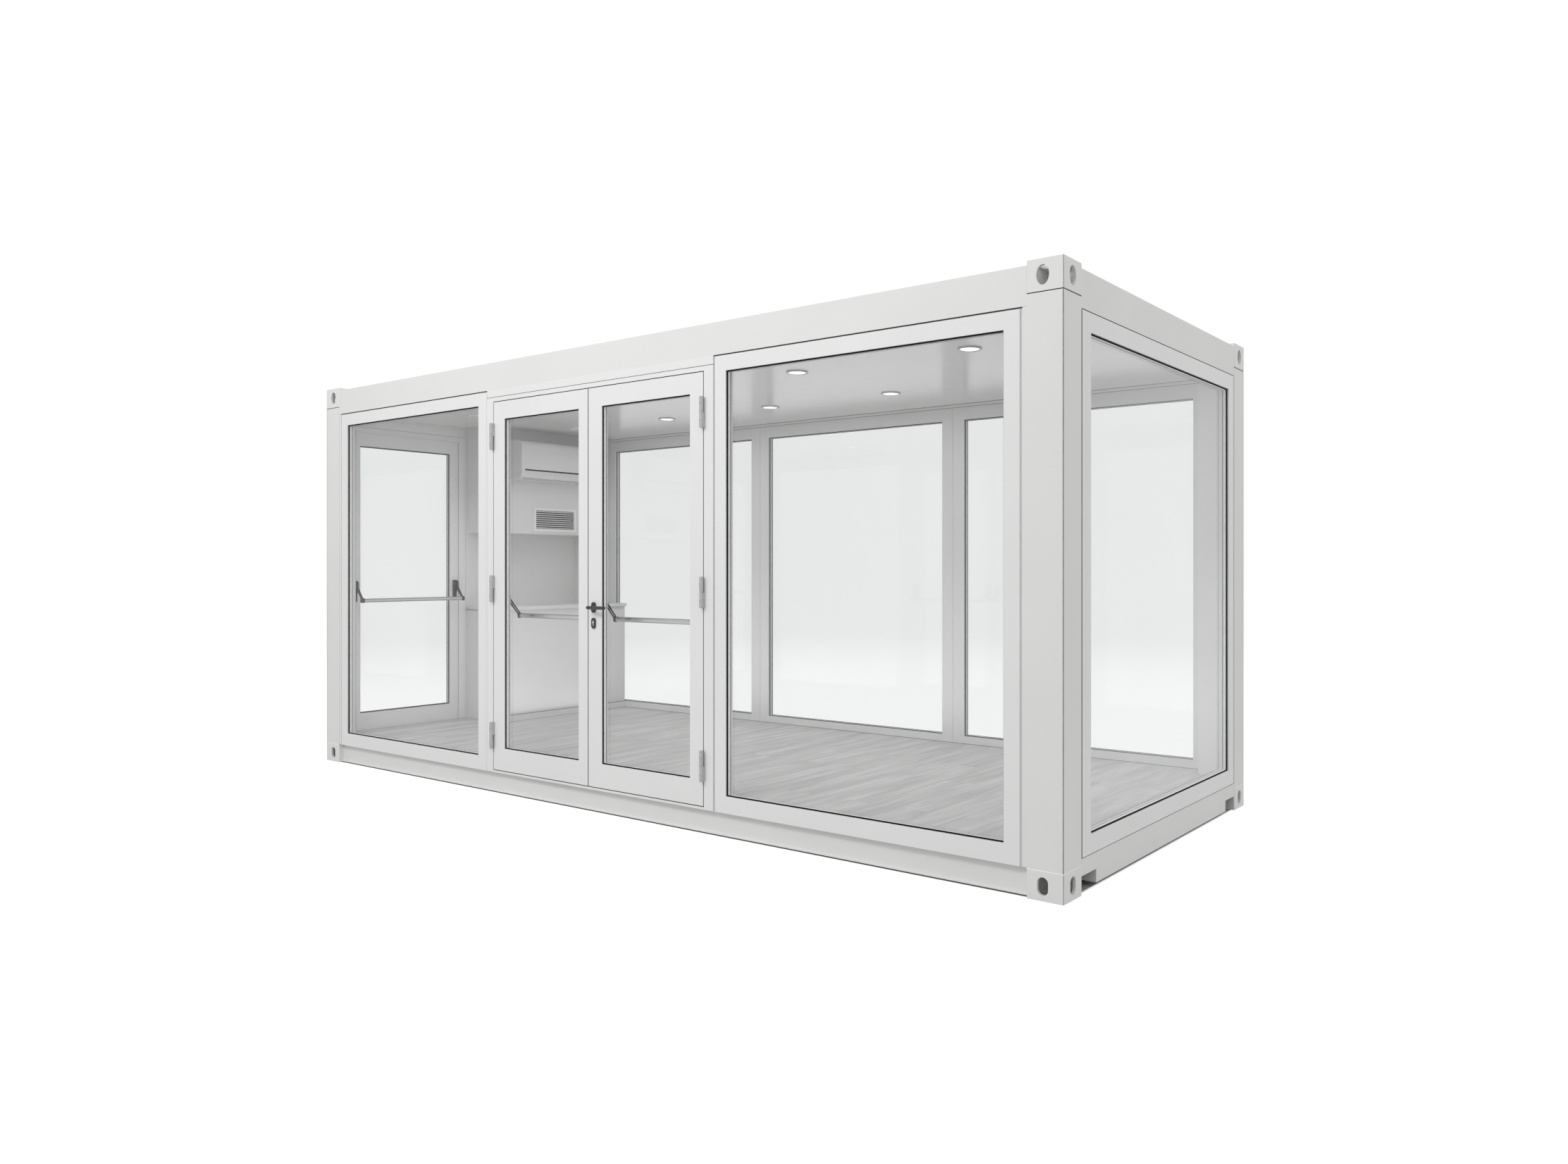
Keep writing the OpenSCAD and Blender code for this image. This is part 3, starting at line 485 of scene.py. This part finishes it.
def to_mesh(name, bm):
    """Mesh with its double points joined and its faces turned outwards."""
    bmesh.ops.remove_doubles(bm, verts=bm.verts, dist=1e-6)
    bmesh.ops.recalc_face_normals(bm, faces=bm.faces)
    mesh = bpy.data.meshes.new(name)
    bm.to_mesh(mesh)
    bm.free()
    return mesh


def piece(name, bm, coat, body="shell", smooth=0):
    """Piece made of a bmesh, which is used up."""
    as_piece(name, to_mesh(name, bm), coat, body, smooth)


def add_box(bm, low, high):
    """Box between two opposite corners."""
    size = Vector(high) - Vector(low)
    place = Matrix.Translation((Vector(low) + Vector(high)) / 2) @ Matrix.Diagonal((*size, 1))
    bmesh.ops.create_cube(bm, size=1, matrix=place)


def add_turned(bm, profile, place, sides):
    """Solid of revolution: profile of (radius, height) from the axis back to the axis."""
    turns = [math.tau * i / sides for i in range(sides)]
    rings = []
    for radius, height in profile:
        if radius == 0:
            rings.append([bm.verts.new(place @ Vector((0, 0, height)))] * sides)
        else:
            spots = [Vector((radius * math.cos(a), radius * math.sin(a), height)) for a in turns]
            rings.append([bm.verts.new(place @ spot) for spot in spots])
    closed = list(zip(rings, rings[1:]))
    if profile[0][0] > 0:
        closed.append((rings[-1], rings[0]))
    for low, high in closed:
        for i in range(sides):
            j = (i + 1) % sides
            corners = list(dict.fromkeys([low[i], low[j], high[j], high[i]]))
            if len(corners) > 2:
                bm.faces.new(corners)


def add_swept_frame(bm, rect, profile, to_world):
    """Mitred rectangular frame: rect = (u0, v0, u1, v1), profile of (inset, depth) points."""
    u0, v0, u1, v1 = rect
    loops = []
    for inset, depth in profile:
        a0, b0, a1, b1 = u0 + inset, v0 + inset, u1 - inset, v1 - inset
        corners = ((a0, b0), (a1, b0), (a1, b1), (a0, b1))
        loops.append([bm.verts.new(to_world(u, v, depth)) for u, v in corners])
    for k, here in enumerate(loops):
        there = loops[(k + 1) % len(loops)]
        for i in range(4):
            j = (i + 1) % 4
            bm.faces.new((here[i], here[j], there[j], there[i]))


# Walls: u along the wall, v up, depth from the outer face into the room
def on_front(u, v, depth):
    return Vector((u, south + depth, v))


def on_back(u, v, depth):
    return Vector((u, north - depth, v))


def on_door_end(u, v, depth):
    return Vector((west + depth, u, v))


def on_glass_end(u, v, depth):
    return Vector((east - depth, u, v))


def inwards(wall):
    """The same wall measured from the room, so that a strip's face looks inwards."""
    return lambda u, v, depth: wall(u, v, -depth)


# Turns a profile's axis to look one way
AIM = {
    "up": Matrix.Identity(4),
    "down": Matrix.Rotation(math.pi, 4, "X"),
    "front": Matrix.Rotation(math.pi / 2, 4, "X"),
    "door_end": Matrix.Rotation(-math.pi / 2, 4, "Y"),
}


# ---------------------------------------------------------------- repeated pieces
def rows_tree():
    """Rows of one item: named inputs for the item, its finish, the counts and the steps."""
    tree = bpy.data.node_groups.new("rows", "GeometryNodeTree")
    sockets = (
        ("Geometry", "Geometry"), ("Item", "Object"), ("Finish", "Material"), ("Across", "Int"),
        ("Down", "Int"), ("First", "Vector"), ("Step Across", "Vector"), ("Step Down", "Vector"),
    )
    for name, kind in sockets:
        tree.interface.new_socket(name, in_out="INPUT", socket_type="NodeSocket" + kind)
    tree.interface.new_socket("Geometry", in_out="OUTPUT", socket_type="NodeSocketGeometry")
    make = tree.nodes.new
    join = tree.links.new
    given = make("NodeGroupInput").outputs
    across = make("GeometryNodeMeshLine")
    down = make("GeometryNodeMeshLine")
    for line, count, step in ((across, "Across", "Step Across"), (down, "Down", "Step Down")):
        line.mode = "OFFSET"
        join(given[count], line.inputs["Count"])
        join(given[step], line.inputs["Offset"])
    join(given["First"], across.inputs["Start Location"])
    grid = make("GeometryNodeInstanceOnPoints")
    join(across.outputs["Mesh"], grid.inputs["Points"])
    join(down.outputs["Mesh"], grid.inputs["Instance"])
    spots = make("GeometryNodeRealizeInstances")
    join(grid.outputs["Instances"], spots.inputs["Geometry"])
    item = make("GeometryNodeObjectInfo")
    join(given["Item"], item.inputs["Object"])
    copies = make("GeometryNodeInstanceOnPoints")
    join(spots.outputs["Geometry"], copies.inputs["Points"])
    join(item.outputs["Geometry"], copies.inputs["Instance"])
    real = make("GeometryNodeRealizeInstances")
    join(copies.outputs["Instances"], real.inputs["Geometry"])
    coat = make("GeometryNodeSetMaterial")
    join(real.outputs["Geometry"], coat.inputs["Geometry"])
    join(given["Finish"], coat.inputs["Material"])
    join(coat.outputs["Geometry"], make("NodeGroupOutput").inputs["Geometry"])
    return tree


ROWS = rows_tree()
SOCKET = {s.name: s.identifier for s in ROWS.interface.items_tree if s.in_out == "INPUT"}


def rows(name, item_bm, coat, body, first, across, step_across,
         down=1, step_down=(0, 0, 0), smooth=0):
    """One piece made of across times down copies of an item, the first of them at first."""
    scene = bpy.context.scene.collection.objects
    item = bpy.data.objects.new(name + "_item", to_mesh(name + "_item", item_bm))
    carrier = bpy.data.objects.new(name + "_rows", bpy.data.meshes.new(name + "_rows"))
    scene.link(item)
    scene.link(carrier)
    mod = carrier.modifiers.new("rows", "NODES")
    mod.node_group = ROWS
    values = {
        "Item": item, "Finish": coat, "Across": across, "Down": down, "First": Vector(first),
        "Step Across": Vector(step_across), "Step Down": Vector(step_down),
    }
    for key, value in values.items():
        mod[SOCKET[key]] = value
    ready = bpy.context.evaluated_depsgraph_get()
    mesh = bpy.data.meshes.new_from_object(carrier.evaluated_get(ready))
    mesh.name = name
    carrier.modifiers.clear()
    for spare in (carrier, item):
        bpy.data.objects.remove(spare)
    as_piece(name, mesh, coat, body, smooth)


def turned_item(profile, sides):
    """Item for rows: a solid of revolution that stands upright."""
    bm = bmesh.new()
    add_turned(bm, profile, AIM["up"], sides)
    return bm


# ---------------------------------------------------------------- ceiling lights
def lamps():
    """Frosted lens and turned rim of each downlight. The first column is unlit."""
    (x0, y0, z0), (x1, y1, _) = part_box("downlights")
    flange = 0.065
    step = (LAMP_PITCH, 0, 0)
    row = (0, y1 - y0 - 2 * flange, 0)
    lens = [(0, 0.0006), (0.050, 0.0006), (0.050, -0.0008), (0.047, -0.0020), (0, -0.0026)]
    rim = [(0.050, 0.0004), (0.0655, 0.0004), (0.0655, -0.0014), (0.0635, -0.0034),
           (0.0600, -0.0042), (0.0545, -0.0040), (0.0515, -0.0024), (0.050, -0.0010)]
    groups = (
        ("", x0 + flange + LAMP_PITCH, 3, glow),
        ("end_", x1 - flange, 1, glow),
        ("unlit_", x0 + flange, 1, ceiling_coat),
    )
    for group, x, across, coat in groups:
        first = (x, y0 + flange, z0)
        rows(group + "lamp_lenses", turned_item(lens, 40), coat, "shell",
             first, across, step, 2, row, 40)
        rows(group + "lamp_rims", turned_item(rim, 48), rim_metal, "shell",
             first, across, step, 2, row, 50)


# ---------------------------------------------------------------- roof
def roof_screws():
    """Sealing screws with washers along the ribs of the roof sheet."""
    (x0, y0, _), (x1, y1, top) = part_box("roof_sheet")
    head = [(0, 0.0075), (0.0040, 0.0075), (0.0048, 0.0066), (0.0048, 0.0022), (0.0080, 0.0020),
            (0.0082, 0.0006), (0.0070, 0), (0, 0)]
    # the sheet's ribs, and where the first one's crest lies in its pitch
    ribs = 27
    pitch = 0.210
    to_crest = 0.140
    crest = (x0 + x1) / 2 - ribs * pitch / 2 + to_crest
    # rows of screws, how far the outer ones are from the sheet's edges, and a snug seat
    lines = 5
    edge = 0.2
    sunk = 0.0002
    apart = (y1 - y0 - 2 * edge) / (lines - 1)
    rows("roof_screws", turned_item(head, 12), nickel, "shell",
         (crest, y0 + edge, top - sunk), ribs, (pitch, 0, 0), lines, (0, apart, 0), 30)


# ---------------------------------------------------------------- seals
def strip(bm, wall, u0, u1, v0, v1, depth):
    """Sealing strip in a joint, upright or level, with its face bulging out of the joint."""
    upright = v1 - v0 > u1 - u0
    # points of the section: share of its width, depth behind its face
    bulb = ((0, 0), (0.35, -0.0010), (0.65, -0.0010), (1, 0), (1, 0.006), (0, 0.006))
    ends = []
    for end in (0, 1):
        loop = []
        for side, d in bulb:
            across, along = (side, end) if upright else (end, side)
            u = u0 + (u1 - u0) * across
            v = v0 + (v1 - v0) * along
            loop.append(bm.verts.new(wall(u, v, depth + d)))
        ends.append(loop)
        bm.faces.new(loop)
    for i in range(len(bulb)):
        j = (i + 1) % len(bulb)
        bm.faces.new((ends[0][i], ends[0][j], ends[1][j], ends[1][i]))


def joint_seals():
    """Sealing strips in the joints between frames, posts, rails and panels."""
    bm = bmesh.new()
    gap = 0.002
    # depths of the strips' faces behind the module's outer faces
    flush = 0.0031
    proud = flush - 0.0006
    middle = 0.006
    groove = 0.0068
    flange = 0.013
    # how far below the frames' tops the upright strips end, in front and on the other walls
    front_stop = 0.012
    stop = 0.006
    # how far the level strips reach down over the frames
    front_lap = 0.004
    lap = 0.003
    door_lap = 0.0008

    (lx0, _, lz0), (lx1, _, lz1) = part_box("front_left_frame")
    (dx0, _, _), (dx1, _, dz1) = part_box("door_frame")
    (rx0, _, rz0), (rx1, _, rz1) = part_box("front_right_frame")
    strip(bm, on_front, lx0 - gap, lx0, lz0, lz1 - front_stop, flange)
    strip(bm, on_front, lx1, dx0, lz0, lz1 - front_stop, middle)
    strip(bm, on_front, rx1, rx1 + gap, rz0, rz1 - front_stop, flange)
    strip(bm, on_front, lx0, lx1, lz1 - front_lap, lz1 + gap, groove)
    strip(bm, on_front, rx0, rx1, rz1 - front_lap, rz1 + gap, groove)
    strip(bm, on_front, dx0, dx1, dz1 - door_lap, dz1 + gap + door_lap, proud)

    (_, ey0, ez0), (_, ey1, ez1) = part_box("end_frame")
    strip(bm, on_glass_end, ey0 - gap, ey0, ez0, ez1 - stop, flush)
    strip(bm, on_glass_end, ey1 - gap, ey1 + 2 * gap, ez0, ez1 - stop, proud)
    strip(bm, on_glass_end, ey0, ey1, ez1 - lap, ez1 + gap, flush)
    strip(bm, on_glass_end, ey0, ey1, ez0, ez0 + gap, flush)

    (_, ay0, az0), (_, ay1, az1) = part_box("end_door_frame")
    strip(bm, on_door_end, ay0 - gap, ay0, az0, az1, flush)
    strip(bm, on_door_end, ay1, ay1 + gap, az0, az1, flush)
    strip(bm, on_door_end, ay0, ay1, az1, az1 + gap, flush)

    (bx0, _, bz0), (bx1, _, bz1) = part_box("back_frames")
    bay = (bx1 - bx0 + gap) / 3
    for i in range(4):
        strip(bm, on_back, bx0 - gap + i * bay, bx0 + i * bay, bz0, bz1 - stop, middle)
    strip(bm, on_back, bx0, bx1, bz1 - lap, bz1 + gap, flush)
    strip(bm, on_back, bx0, bx1, bz0, bz0 + gap, flush)
    piece("joint_seals", bm, sealant, smooth=40)


def inner_seals():
    """Fine beads of dark sealant round the room, along floor, frame tops and ceiling, which also
    paint the thin shade lines at these junctions.
    """
    bm = bmesh.new()
    floor_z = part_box("floor_deck")[1][2]
    frame_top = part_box("back_frames")[1][2]
    ceiling_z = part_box("ceiling")[0][2]
    bead = 0.0022
    # the front has none along the floor, because the doorway is there
    upper = (frame_top - bead / 2, ceiling_z - bead)
    walls = (
        (on_front, "front_left_frame", "front_right_frame", 0, upper),
        (on_back, "back_infill", "back_frames", 0, (floor_z, *upper)),
        (on_glass_end, "end_frame", "end_frame", 1, (floor_z, *upper)),
    )
    for wall, first, last, along, levels in walls:
        for z in levels:
            strip(bm, inwards(wall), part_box(first)[0][along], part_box(last)[1][along],
                  z, z + bead, -FRAME_IN)
    # over and under the skirting of the counter, where they paint its shade lines
    (_, cy0, _), (cx1, cy1, _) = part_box("counter_base")
    for z in (floor_z, floor_z + SKIRTING_H):
        strip(bm, lambda u, v, depth: Vector((cx1 - depth, u, v)), cy0, cy1, z, z + bead, 0.0004)
    piece("inner_seals", bm, sealant, smooth=40)


def corner_bands(name, coat, levels, inner):
    """L-shaped band round each corner: levels of (height, inset), inner = how deep its back is."""
    bm = bmesh.new()
    for x, sx in ((west, 1), (east, -1)):
        for y, sy in ((south, 1), (north, -1)):
            reach_y = DOOR_POST_W if (sx, sy) == (1, 1) else CASTING_SIDE
            loops = []
            for z, inset in levels:
                points = ((inset, inset), (CASTING_SIDE, inset), (CASTING_SIDE, inner),
                          (inner, inner), (inner, reach_y), (inset, reach_y))
                loops.append([bm.verts.new((x + sx * u, y + sy * v, z)) for u, v in points])
            for low, high in zip(loops, loops[1:]):
                for i in range(6):
                    j = (i + 1) % 6
                    bm.faces.new((low[i], low[j], high[j], high[i]))
            bm.faces.new(loops[0])
            bm.faces.new(loops[-1])
    piece(name, bm, coat, smooth=30)


def corner_joints():
    """Open joint under the top castings and the weld over the bottom ones, whose brighter coat
    paints a highlight on its ledge.
    """
    # heights of the bottom castings' tops and of the top castings' feet
    foot_top = 0.127
    head = 2.622
    joint = ((head - 0.0040, 0.0034), (head - 0.0034, 0.0026),
             (head - 0.0006, 0.0026), (head, 0.0034))
    weld = ((foot_top - 0.0004, 0.0004), (foot_top + 0.0016, 0.0004), (foot_top + 0.0034, 0.0012))
    corner_bands("head_joints", leaf_rubber, joint, 0.0060)
    corner_bands("foot_welds", weld_highlight_paint, weld, 0.0040)


# ---------------------------------------------------------------- glass units
def glass_units(node, along):
    """Panes of a glass node, each as its low and high place along the wall, bottom and top."""
    low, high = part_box(node)
    edges = sorted({round(v.co[along], 4) for v in nodes[node].data.vertices})
    return [(u0, low[2], u1, high[2]) for u0, u1 in zip(edges[::2], edges[1::2])]


def spacers(node, wall, along, depth, body="shell"):
    """Pale spacer bars round the edge of each sealed unit, between its two sheets."""
    bar = [(0.0005, 0.0040), (0.0155, 0.0040), (0.0163, 0.0048), (0.0163, 0.0115), (0.0155, 0.0120),
           (0.0163, 0.0125), (0.0163, 0.0192), (0.0155, 0.0200), (0.0005, 0.0200)]
    bm = bmesh.new()
    for rect in glass_units(node, along):
        add_swept_frame(bm, rect, [(inset, depth + d) for inset, d in bar], wall)
    name = node.replace("_glass", "_spacers")
    piece(name, bm, spacer_metal, body, 30)


def wedge_seals(node, wall, along, depth, body="shell"):
    """Black wedge at the gasket's edge, outside each unit and on both faces of the end leaf's."""
    wedge = [(0.0160, -0.0026), (0.0178, -0.0021), (0.0190, -0.0007), (0.0192, 0.0003),
             (0.0160, 0.0003)]
    bm = bmesh.new()
    for rect in glass_units(node, along):
        add_swept_frame(bm, rect, [(inset, depth + d) for inset, d in wedge], wall)
        if node == "end_leaf_glass":
            add_swept_frame(bm, rect, [(inset, depth + UNIT_T - d) for inset, d in wedge], wall)
    name = node.replace("_glass", "_wedges")
    piece(name, bm, leaf_rubber, body, 30)


def edge_all_units():
    """Spacers and wedge seals of the fixed units and of the three leaves."""
    # depths of the glass behind the module's outer faces
    fixed = 0.014
    leaf = 0.011
    for edging in (spacers, wedge_seals):
        edging("front_glass", on_front, 0, fixed)
        edging("back_glass", on_back, 0, fixed)
        edging("end_glass", on_glass_end, 1, fixed)
        edging("left_leaf_glass", on_front, 0, leaf, "left_door")
        edging("right_leaf_glass", on_front, 0, leaf, "right_door")
        edging("end_leaf_glass", on_door_end, 1, leaf, "end_door")


def leaf_seals(name, leaf, wall, along, body, bare_side=0):
    """Bulb seal in the gap round a leaf. bare_side = how far it stays inside the last edge."""
    low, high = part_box(leaf)
    bulb = [(0.006, 0.0030), (-0.0030, 0.0030), (-0.0042, 0.0038), (-0.0045, 0.0055),
            (-0.0042, 0.0072), (-0.0028, 0.0080), (0.006, 0.0080)]
    bm = bmesh.new()
    add_swept_frame(bm, (low[along], low[2], high[along] - bare_side, high[2]), bulb, wall)
    piece(name, bm, leaf_rubber, body, 50)


# ---------------------------------------------------------------- hinges and lock
def hinge_fittings():
    """Domed caps on the barrels and a grub screw in each half."""
    cap = [(0, 0.0030), (0.0040, 0.0028), (0.0080, 0.0019), (0.0105, 0.0006),
           (0.0108, 0), (0.0100, -0.0010), (0, -0.0010)]
    grub = [(0, -0.0006), (0.0012, -0.0006), (0.0014, 0.0004), (0.0026, 0.0004),
            (0.0030, 0.0001), (0.0030, -0.0006), (0.0028, -0.0016), (0, -0.0016)]
    barrel = 0.082
    knuckle = 0.001
    # the middle hinge stands below the middle of the leaf
    middle_drop = 0.018
    # height of the grub screws on a barrel, and how deep they sit in its plate
    grub_rise = barrel * 0.55
    sunk = 0.0004
    for side, along, aim in (("left", 0, "front"), ("right", 0, "front"), ("end", 1, "door_end")):
        low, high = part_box(side + "_leaf_hinges")
        span = high[2] - low[2] - barrel
        axis = [0, 0, 0]
        axis[along] = high[along] - HINGE_R if side == "right" else low[along] + HINGE_R
        axis[1 - along] = low[1 - along] + HINGE_R
        caps, grubs, feet, foot_grubs = (bmesh.new() for _ in range(4))
        for z in (low[2], low[2] + span / 2 - middle_drop, low[2] + span):
            axis[2] = z + barrel
            add_turned(caps, cap, Matrix.Translation(axis), 20)
            axis[2] = z - knuckle - barrel
            add_turned(feet, cap, Matrix.Translation(axis) @ AIM["down"], 20)
            for bm, rise in ((grubs, grub_rise), (foot_grubs, -knuckle - grub_rise)):
                spot = list(axis)
                spot[1 - along] = low[1 - along] + sunk
                spot[2] = z + rise
                add_turned(bm, grub, Matrix.Translation(spot) @ AIM[aim], 12)
        door = side + "_door"
        piece(side + "_hinge_caps", caps, hinge_metal, door, 40)
        piece(side + "_hinge_grubs", grubs, dark_metal, door, 40)
        piece(side + "_hinge_feet", feet, hinge_metal, "shell", 40)
        piece(side + "_foot_grubs", foot_grubs, dark_metal, "shell", 40)


def key_cylinder():
    """Nickel cylinder with its keyway, in the key plate's recess."""
    low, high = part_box("lock_plates")
    up_plate = 0.037
    x = (low[0] + high[0]) / 2
    z = low[2] + up_plate
    face = low[1]
    core = [(0, 0.0002), (0.0014, 0.0002), (0.0014, 0.0010), (0.0052, 0.0012), (0.0064, 0.0010),
            (0.0064, 0.0004), (0.0080, 0.0002), (0.0082, -0.0006), (0.0082, -0.0036), (0, -0.0036)]
    sunk = 0.0006
    # body of the cylinder, below its core
    half = 0.0046
    front, back = face + 0.0012, face + 0.0040
    foot, top = z - 0.0215, z - 0.0070
    bm = bmesh.new()
    add_turned(bm, core, Matrix.Translation((x, face + sunk, z)) @ AIM["front"], 28)
    add_box(bm, (x - half, front, foot), (x + half, back, top))
    piece("key_cylinder", bm, nickel, "right_door", 35)


# ---------------------------------------------------------------- technical corner
def grille_filter():
    """Dark woven filter behind the slats, in its thin frame, which paints the shade in the gaps
    between the slats.
    """
    low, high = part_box("vent_grille")
    flange = 0.017
    behind = 0.0065
    cloth_t = 0.002
    edging = [(0, 0), (0.008, 0), (0.008, 0.003), (0, 0.003)]
    x = low[0] - behind
    y0, y1 = low[1] + flange, high[1] - flange
    z0, z1 = low[2] + flange, high[2] - flange
    bm = bmesh.new()
    add_box(bm, (x - cloth_t, y0, z0), (x, y1, z1))
    add_swept_frame(bm, (y0, z0, y1, z1), edging, lambda u, v, depth: Vector((x + depth, u, v)))
    piece("grille_filter", bm, shade_cloth)


def counter_end():
    """Board with eased edges that closes the counter's end by the back glass."""
    (x0, _, z0), (x1, y1, z1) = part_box("counter_base")
    play = 0.001
    eased = 0.0015
    bm = bmesh.new()
    add_box(bm, (x0 + play, y1 - BOARD_T - play, z0 + play),
            (x1 - SKIRTING_T - BOARD_T - play, y1 - play, z1 - play))
    bmesh.ops.bevel(bm, geom=bm.edges[:], offset=eased, segments=2, profile=0.5, affect="EDGES")
    piece("counter_end", bm, joinery, smooth=30)


def unit_vanes():
    """Vanes and dark lining of the air conditioner's outlet, the lining painting the shade in the
    slot, and the intake bars on its top.
    """
    low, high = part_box("air_conditioner")
    # outlet slot: back, ends and the heights of its two faces
    x0 = high[0] - 0.0395
    y0, y1 = low[1] + 0.0345, high[1] - 0.0305
    slot_z = low[2] + 0.066
    sill, under_sill = slot_z + 0.0012, slot_z + 0.0004
    head, over_head = slot_z + 0.0118, slot_z + 0.0126
    back_t = 0.002
    mouth = high[0] - 0.004
    # dark lining on the slot's back, sill and head: painted shade
    shade_liner = bmesh.new()
    add_box(shade_liner, (x0, y0, under_sill), (x0 + back_t, y1, over_head))
    add_box(shade_liner, (x0, y0, under_sill), (mouth, y1, sill))
    add_box(shade_liner, (x0, y0, head), (mouth, y1, over_head))
    piece("outlet_lining", shade_liner, shade_cloth)

    vane = bmesh.new()
    add_box(vane, (0, -0.0007, 0.0012), (0.022, 0.0007, 0.0118))
    vanes = 24
    behind = 0.008
    end = 0.02
    rows("outlet_vanes", vane, dark_metal, "shell",
         (x0 + behind, y0 + end, slot_z), vanes, (0, (y1 - y0 - 2 * end) / (vanes - 1), 0))

    bar = bmesh.new()
    add_box(bar, (0, -0.0015, -0.001), (0.11, 0.0015, 0.0016))
    bars = 60
    from_wall = 0.03
    end = 0.06
    rows("intake_bars", bar, shell_plastic, "shell",
         (low[0] + from_wall, low[1] + end, high[2]),
         bars, (0, (high[1] - low[1] - 2 * end) / (bars - 1), 0))


# ---------------------------------------------------------------- studio
def stage():
    """Pale floor. It looks white where nothing shades it, and keeps the module's shadow."""
    # how far inside the module's edges the open floor's own light sets in and is full
    sets_in = 0.030
    full = 0.016
    # share of white that the open floor adds near the module
    added_white = 0.80
    # what the far floor gives to light that isn't seen straight or in a mirror
    unseen_white = 0.35
    # distances between which the shaded floor turns into plain white
    shaded_to = 7.0
    plain_from = 16.0
    size = 400
    # drop below the lowest face, so that the two don't flicker
    drop = 0.002

    white = Finish("stage_white", (0.45, 0.45, 0.45), 0.9)
    white.shader.inputs["Specular IOR Level"].default_value = 0.0
    path = white.add("ShaderNodeLightPath")
    flash = white.add("ShaderNodeEmission", Strength=1.0)
    flash.inputs["Color"].default_value = (1, 1, 1, 1)
    seen = white.add("ShaderNodeMath", operation="MAXIMUM")
    white.link(path.outputs["Is Camera Ray"], seen.inputs[0])
    white.link(path.outputs["Is Glossy Ray"], seen.inputs[1])
    open_floor = white.either(white.beyond_soft("X", west, east, sets_in, full),
                              white.beyond_soft("Y", south, north, sets_in, full))
    lit = white.both(white.span(seen.outputs["Value"], 0.0, added_white), open_floor)
    white.link(lit, flash.inputs["Strength"])
    near = white.add("ShaderNodeAddShader")
    white.link(white.shader.outputs["BSDF"], near.inputs[0])
    white.link(flash.outputs["Emission"], near.inputs[1])
    plain = white.add("ShaderNodeEmission")
    white.link(white.span(seen.outputs["Value"], unseen_white, 1.0), plain.inputs["Strength"])
    reach = white.add("ShaderNodeVectorMath", operation="LENGTH")
    white.link(white.coords, reach.inputs[0])
    far = white.add("ShaderNodeMapRange")
    far.inputs["From Min"].default_value = shaded_to
    far.inputs["From Max"].default_value = plain_from
    white.link(reach.outputs["Value"], far.inputs["Value"])
    blend = white.add("ShaderNodeMixShader")
    white.link(far.outputs["Result"], blend.inputs["Fac"])
    white.link(near.outputs["Shader"], blend.inputs[1])
    white.link(plain.outputs["Emission"], blend.inputs[2])
    white.link(blend.outputs["Shader"], white.tree.nodes["Material Output"].inputs["Surface"])
    bpy.ops.mesh.primitive_plane_add(size=size, location=(0, 0, cad_box[0][2] - drop))
    floor = bpy.context.active_object
    floor.name = "stage_floor"
    floor.data.materials.append(white.mat)


def soft_box(name, place, aim, size, power):
    """Area lamp that lights but is never seen itself. power is in watts."""
    data = bpy.data.lights.new(name, "AREA")
    data.energy = power
    data.shape = "RECTANGLE"
    data.size, data.size_y = size
    obj = bpy.data.objects.new(name, data)
    obj.location = place
    obj.rotation_euler = (Vector(aim) - Vector(place)).to_track_quat("-Z", "Y").to_euler()
    obj.visible_camera = False
    obj.visible_glossy = False
    bpy.context.scene.collection.objects.link(obj)


def light():
    """White sky as a backdrop, a dimmer one for its light, and four soft boxes."""
    sky_strength = 0.70
    world = bpy.data.worlds.new("studio")
    bpy.context.scene.world = world
    world.use_nodes = True
    tree = world.node_tree
    sky = tree.nodes["Background"]
    sky.inputs["Color"].default_value = (1, 1, 1, 1)
    sky.inputs["Strength"].default_value = sky_strength
    white = tree.nodes.new("ShaderNodeBackground")
    white.inputs["Strength"].default_value = 1.0
    white.inputs["Color"].default_value = (1, 1, 1, 1)
    path = tree.nodes.new("ShaderNodeLightPath")
    seen = tree.nodes.new("ShaderNodeMath")
    seen.operation = "MAXIMUM"
    tree.links.new(path.outputs["Is Camera Ray"], seen.inputs[0])
    tree.links.new(path.outputs["Is Glossy Ray"], seen.inputs[1])
    mix = tree.nodes.new("ShaderNodeMixShader")
    tree.links.new(seen.outputs["Value"], mix.inputs["Fac"])
    tree.links.new(sky.outputs["Background"], mix.inputs[1])
    tree.links.new(white.outputs["Background"], mix.inputs[2])
    tree.links.new(mix.outputs["Shader"], tree.nodes["World Output"].inputs["Surface"])
    # the two outside ones: how far off, how high, and the height they aim at
    away = 4.5
    high = 5.0
    aim_z = 1.4
    soft_box("key", (0, south - away, high), (0, south, aim_z), (7.0, 1.6), 162)
    soft_box("side", (east + away, 0, high), (east, 0, aim_z), (4.0, 1.6), 38)
    # the two in the room hang just under its ceiling and just over its floor
    under_roof = 0.19
    over_ground = 0.25
    soft_box("room_down", (0.3, 0.03, roof - under_roof), (0.3, 0.03, 0), (4.9, 1.7), 18)
    soft_box("room_up", (0.1, 0.03, over_ground), (0.1, 0.03, roof), (5.0, 1.7), 19)


set_view()
finish_frame()
lamps()
roof_screws()
joint_seals()
inner_seals()
corner_joints()
edge_all_units()
leaf_seals("left_leaf_seals", "left_leaf", on_front, 0, "left_door", bare_side=0.005)
leaf_seals("right_leaf_seals", "right_leaf", on_front, 0, "right_door")
leaf_seals("end_leaf_seals", "end_leaf", on_door_end, 1, "end_door")
hinge_fittings()
key_cylinder()
grille_filter()
counter_end()
unit_vanes()
stage()
light()
bpy.context.scene.view_settings.view_transform = "Standard"
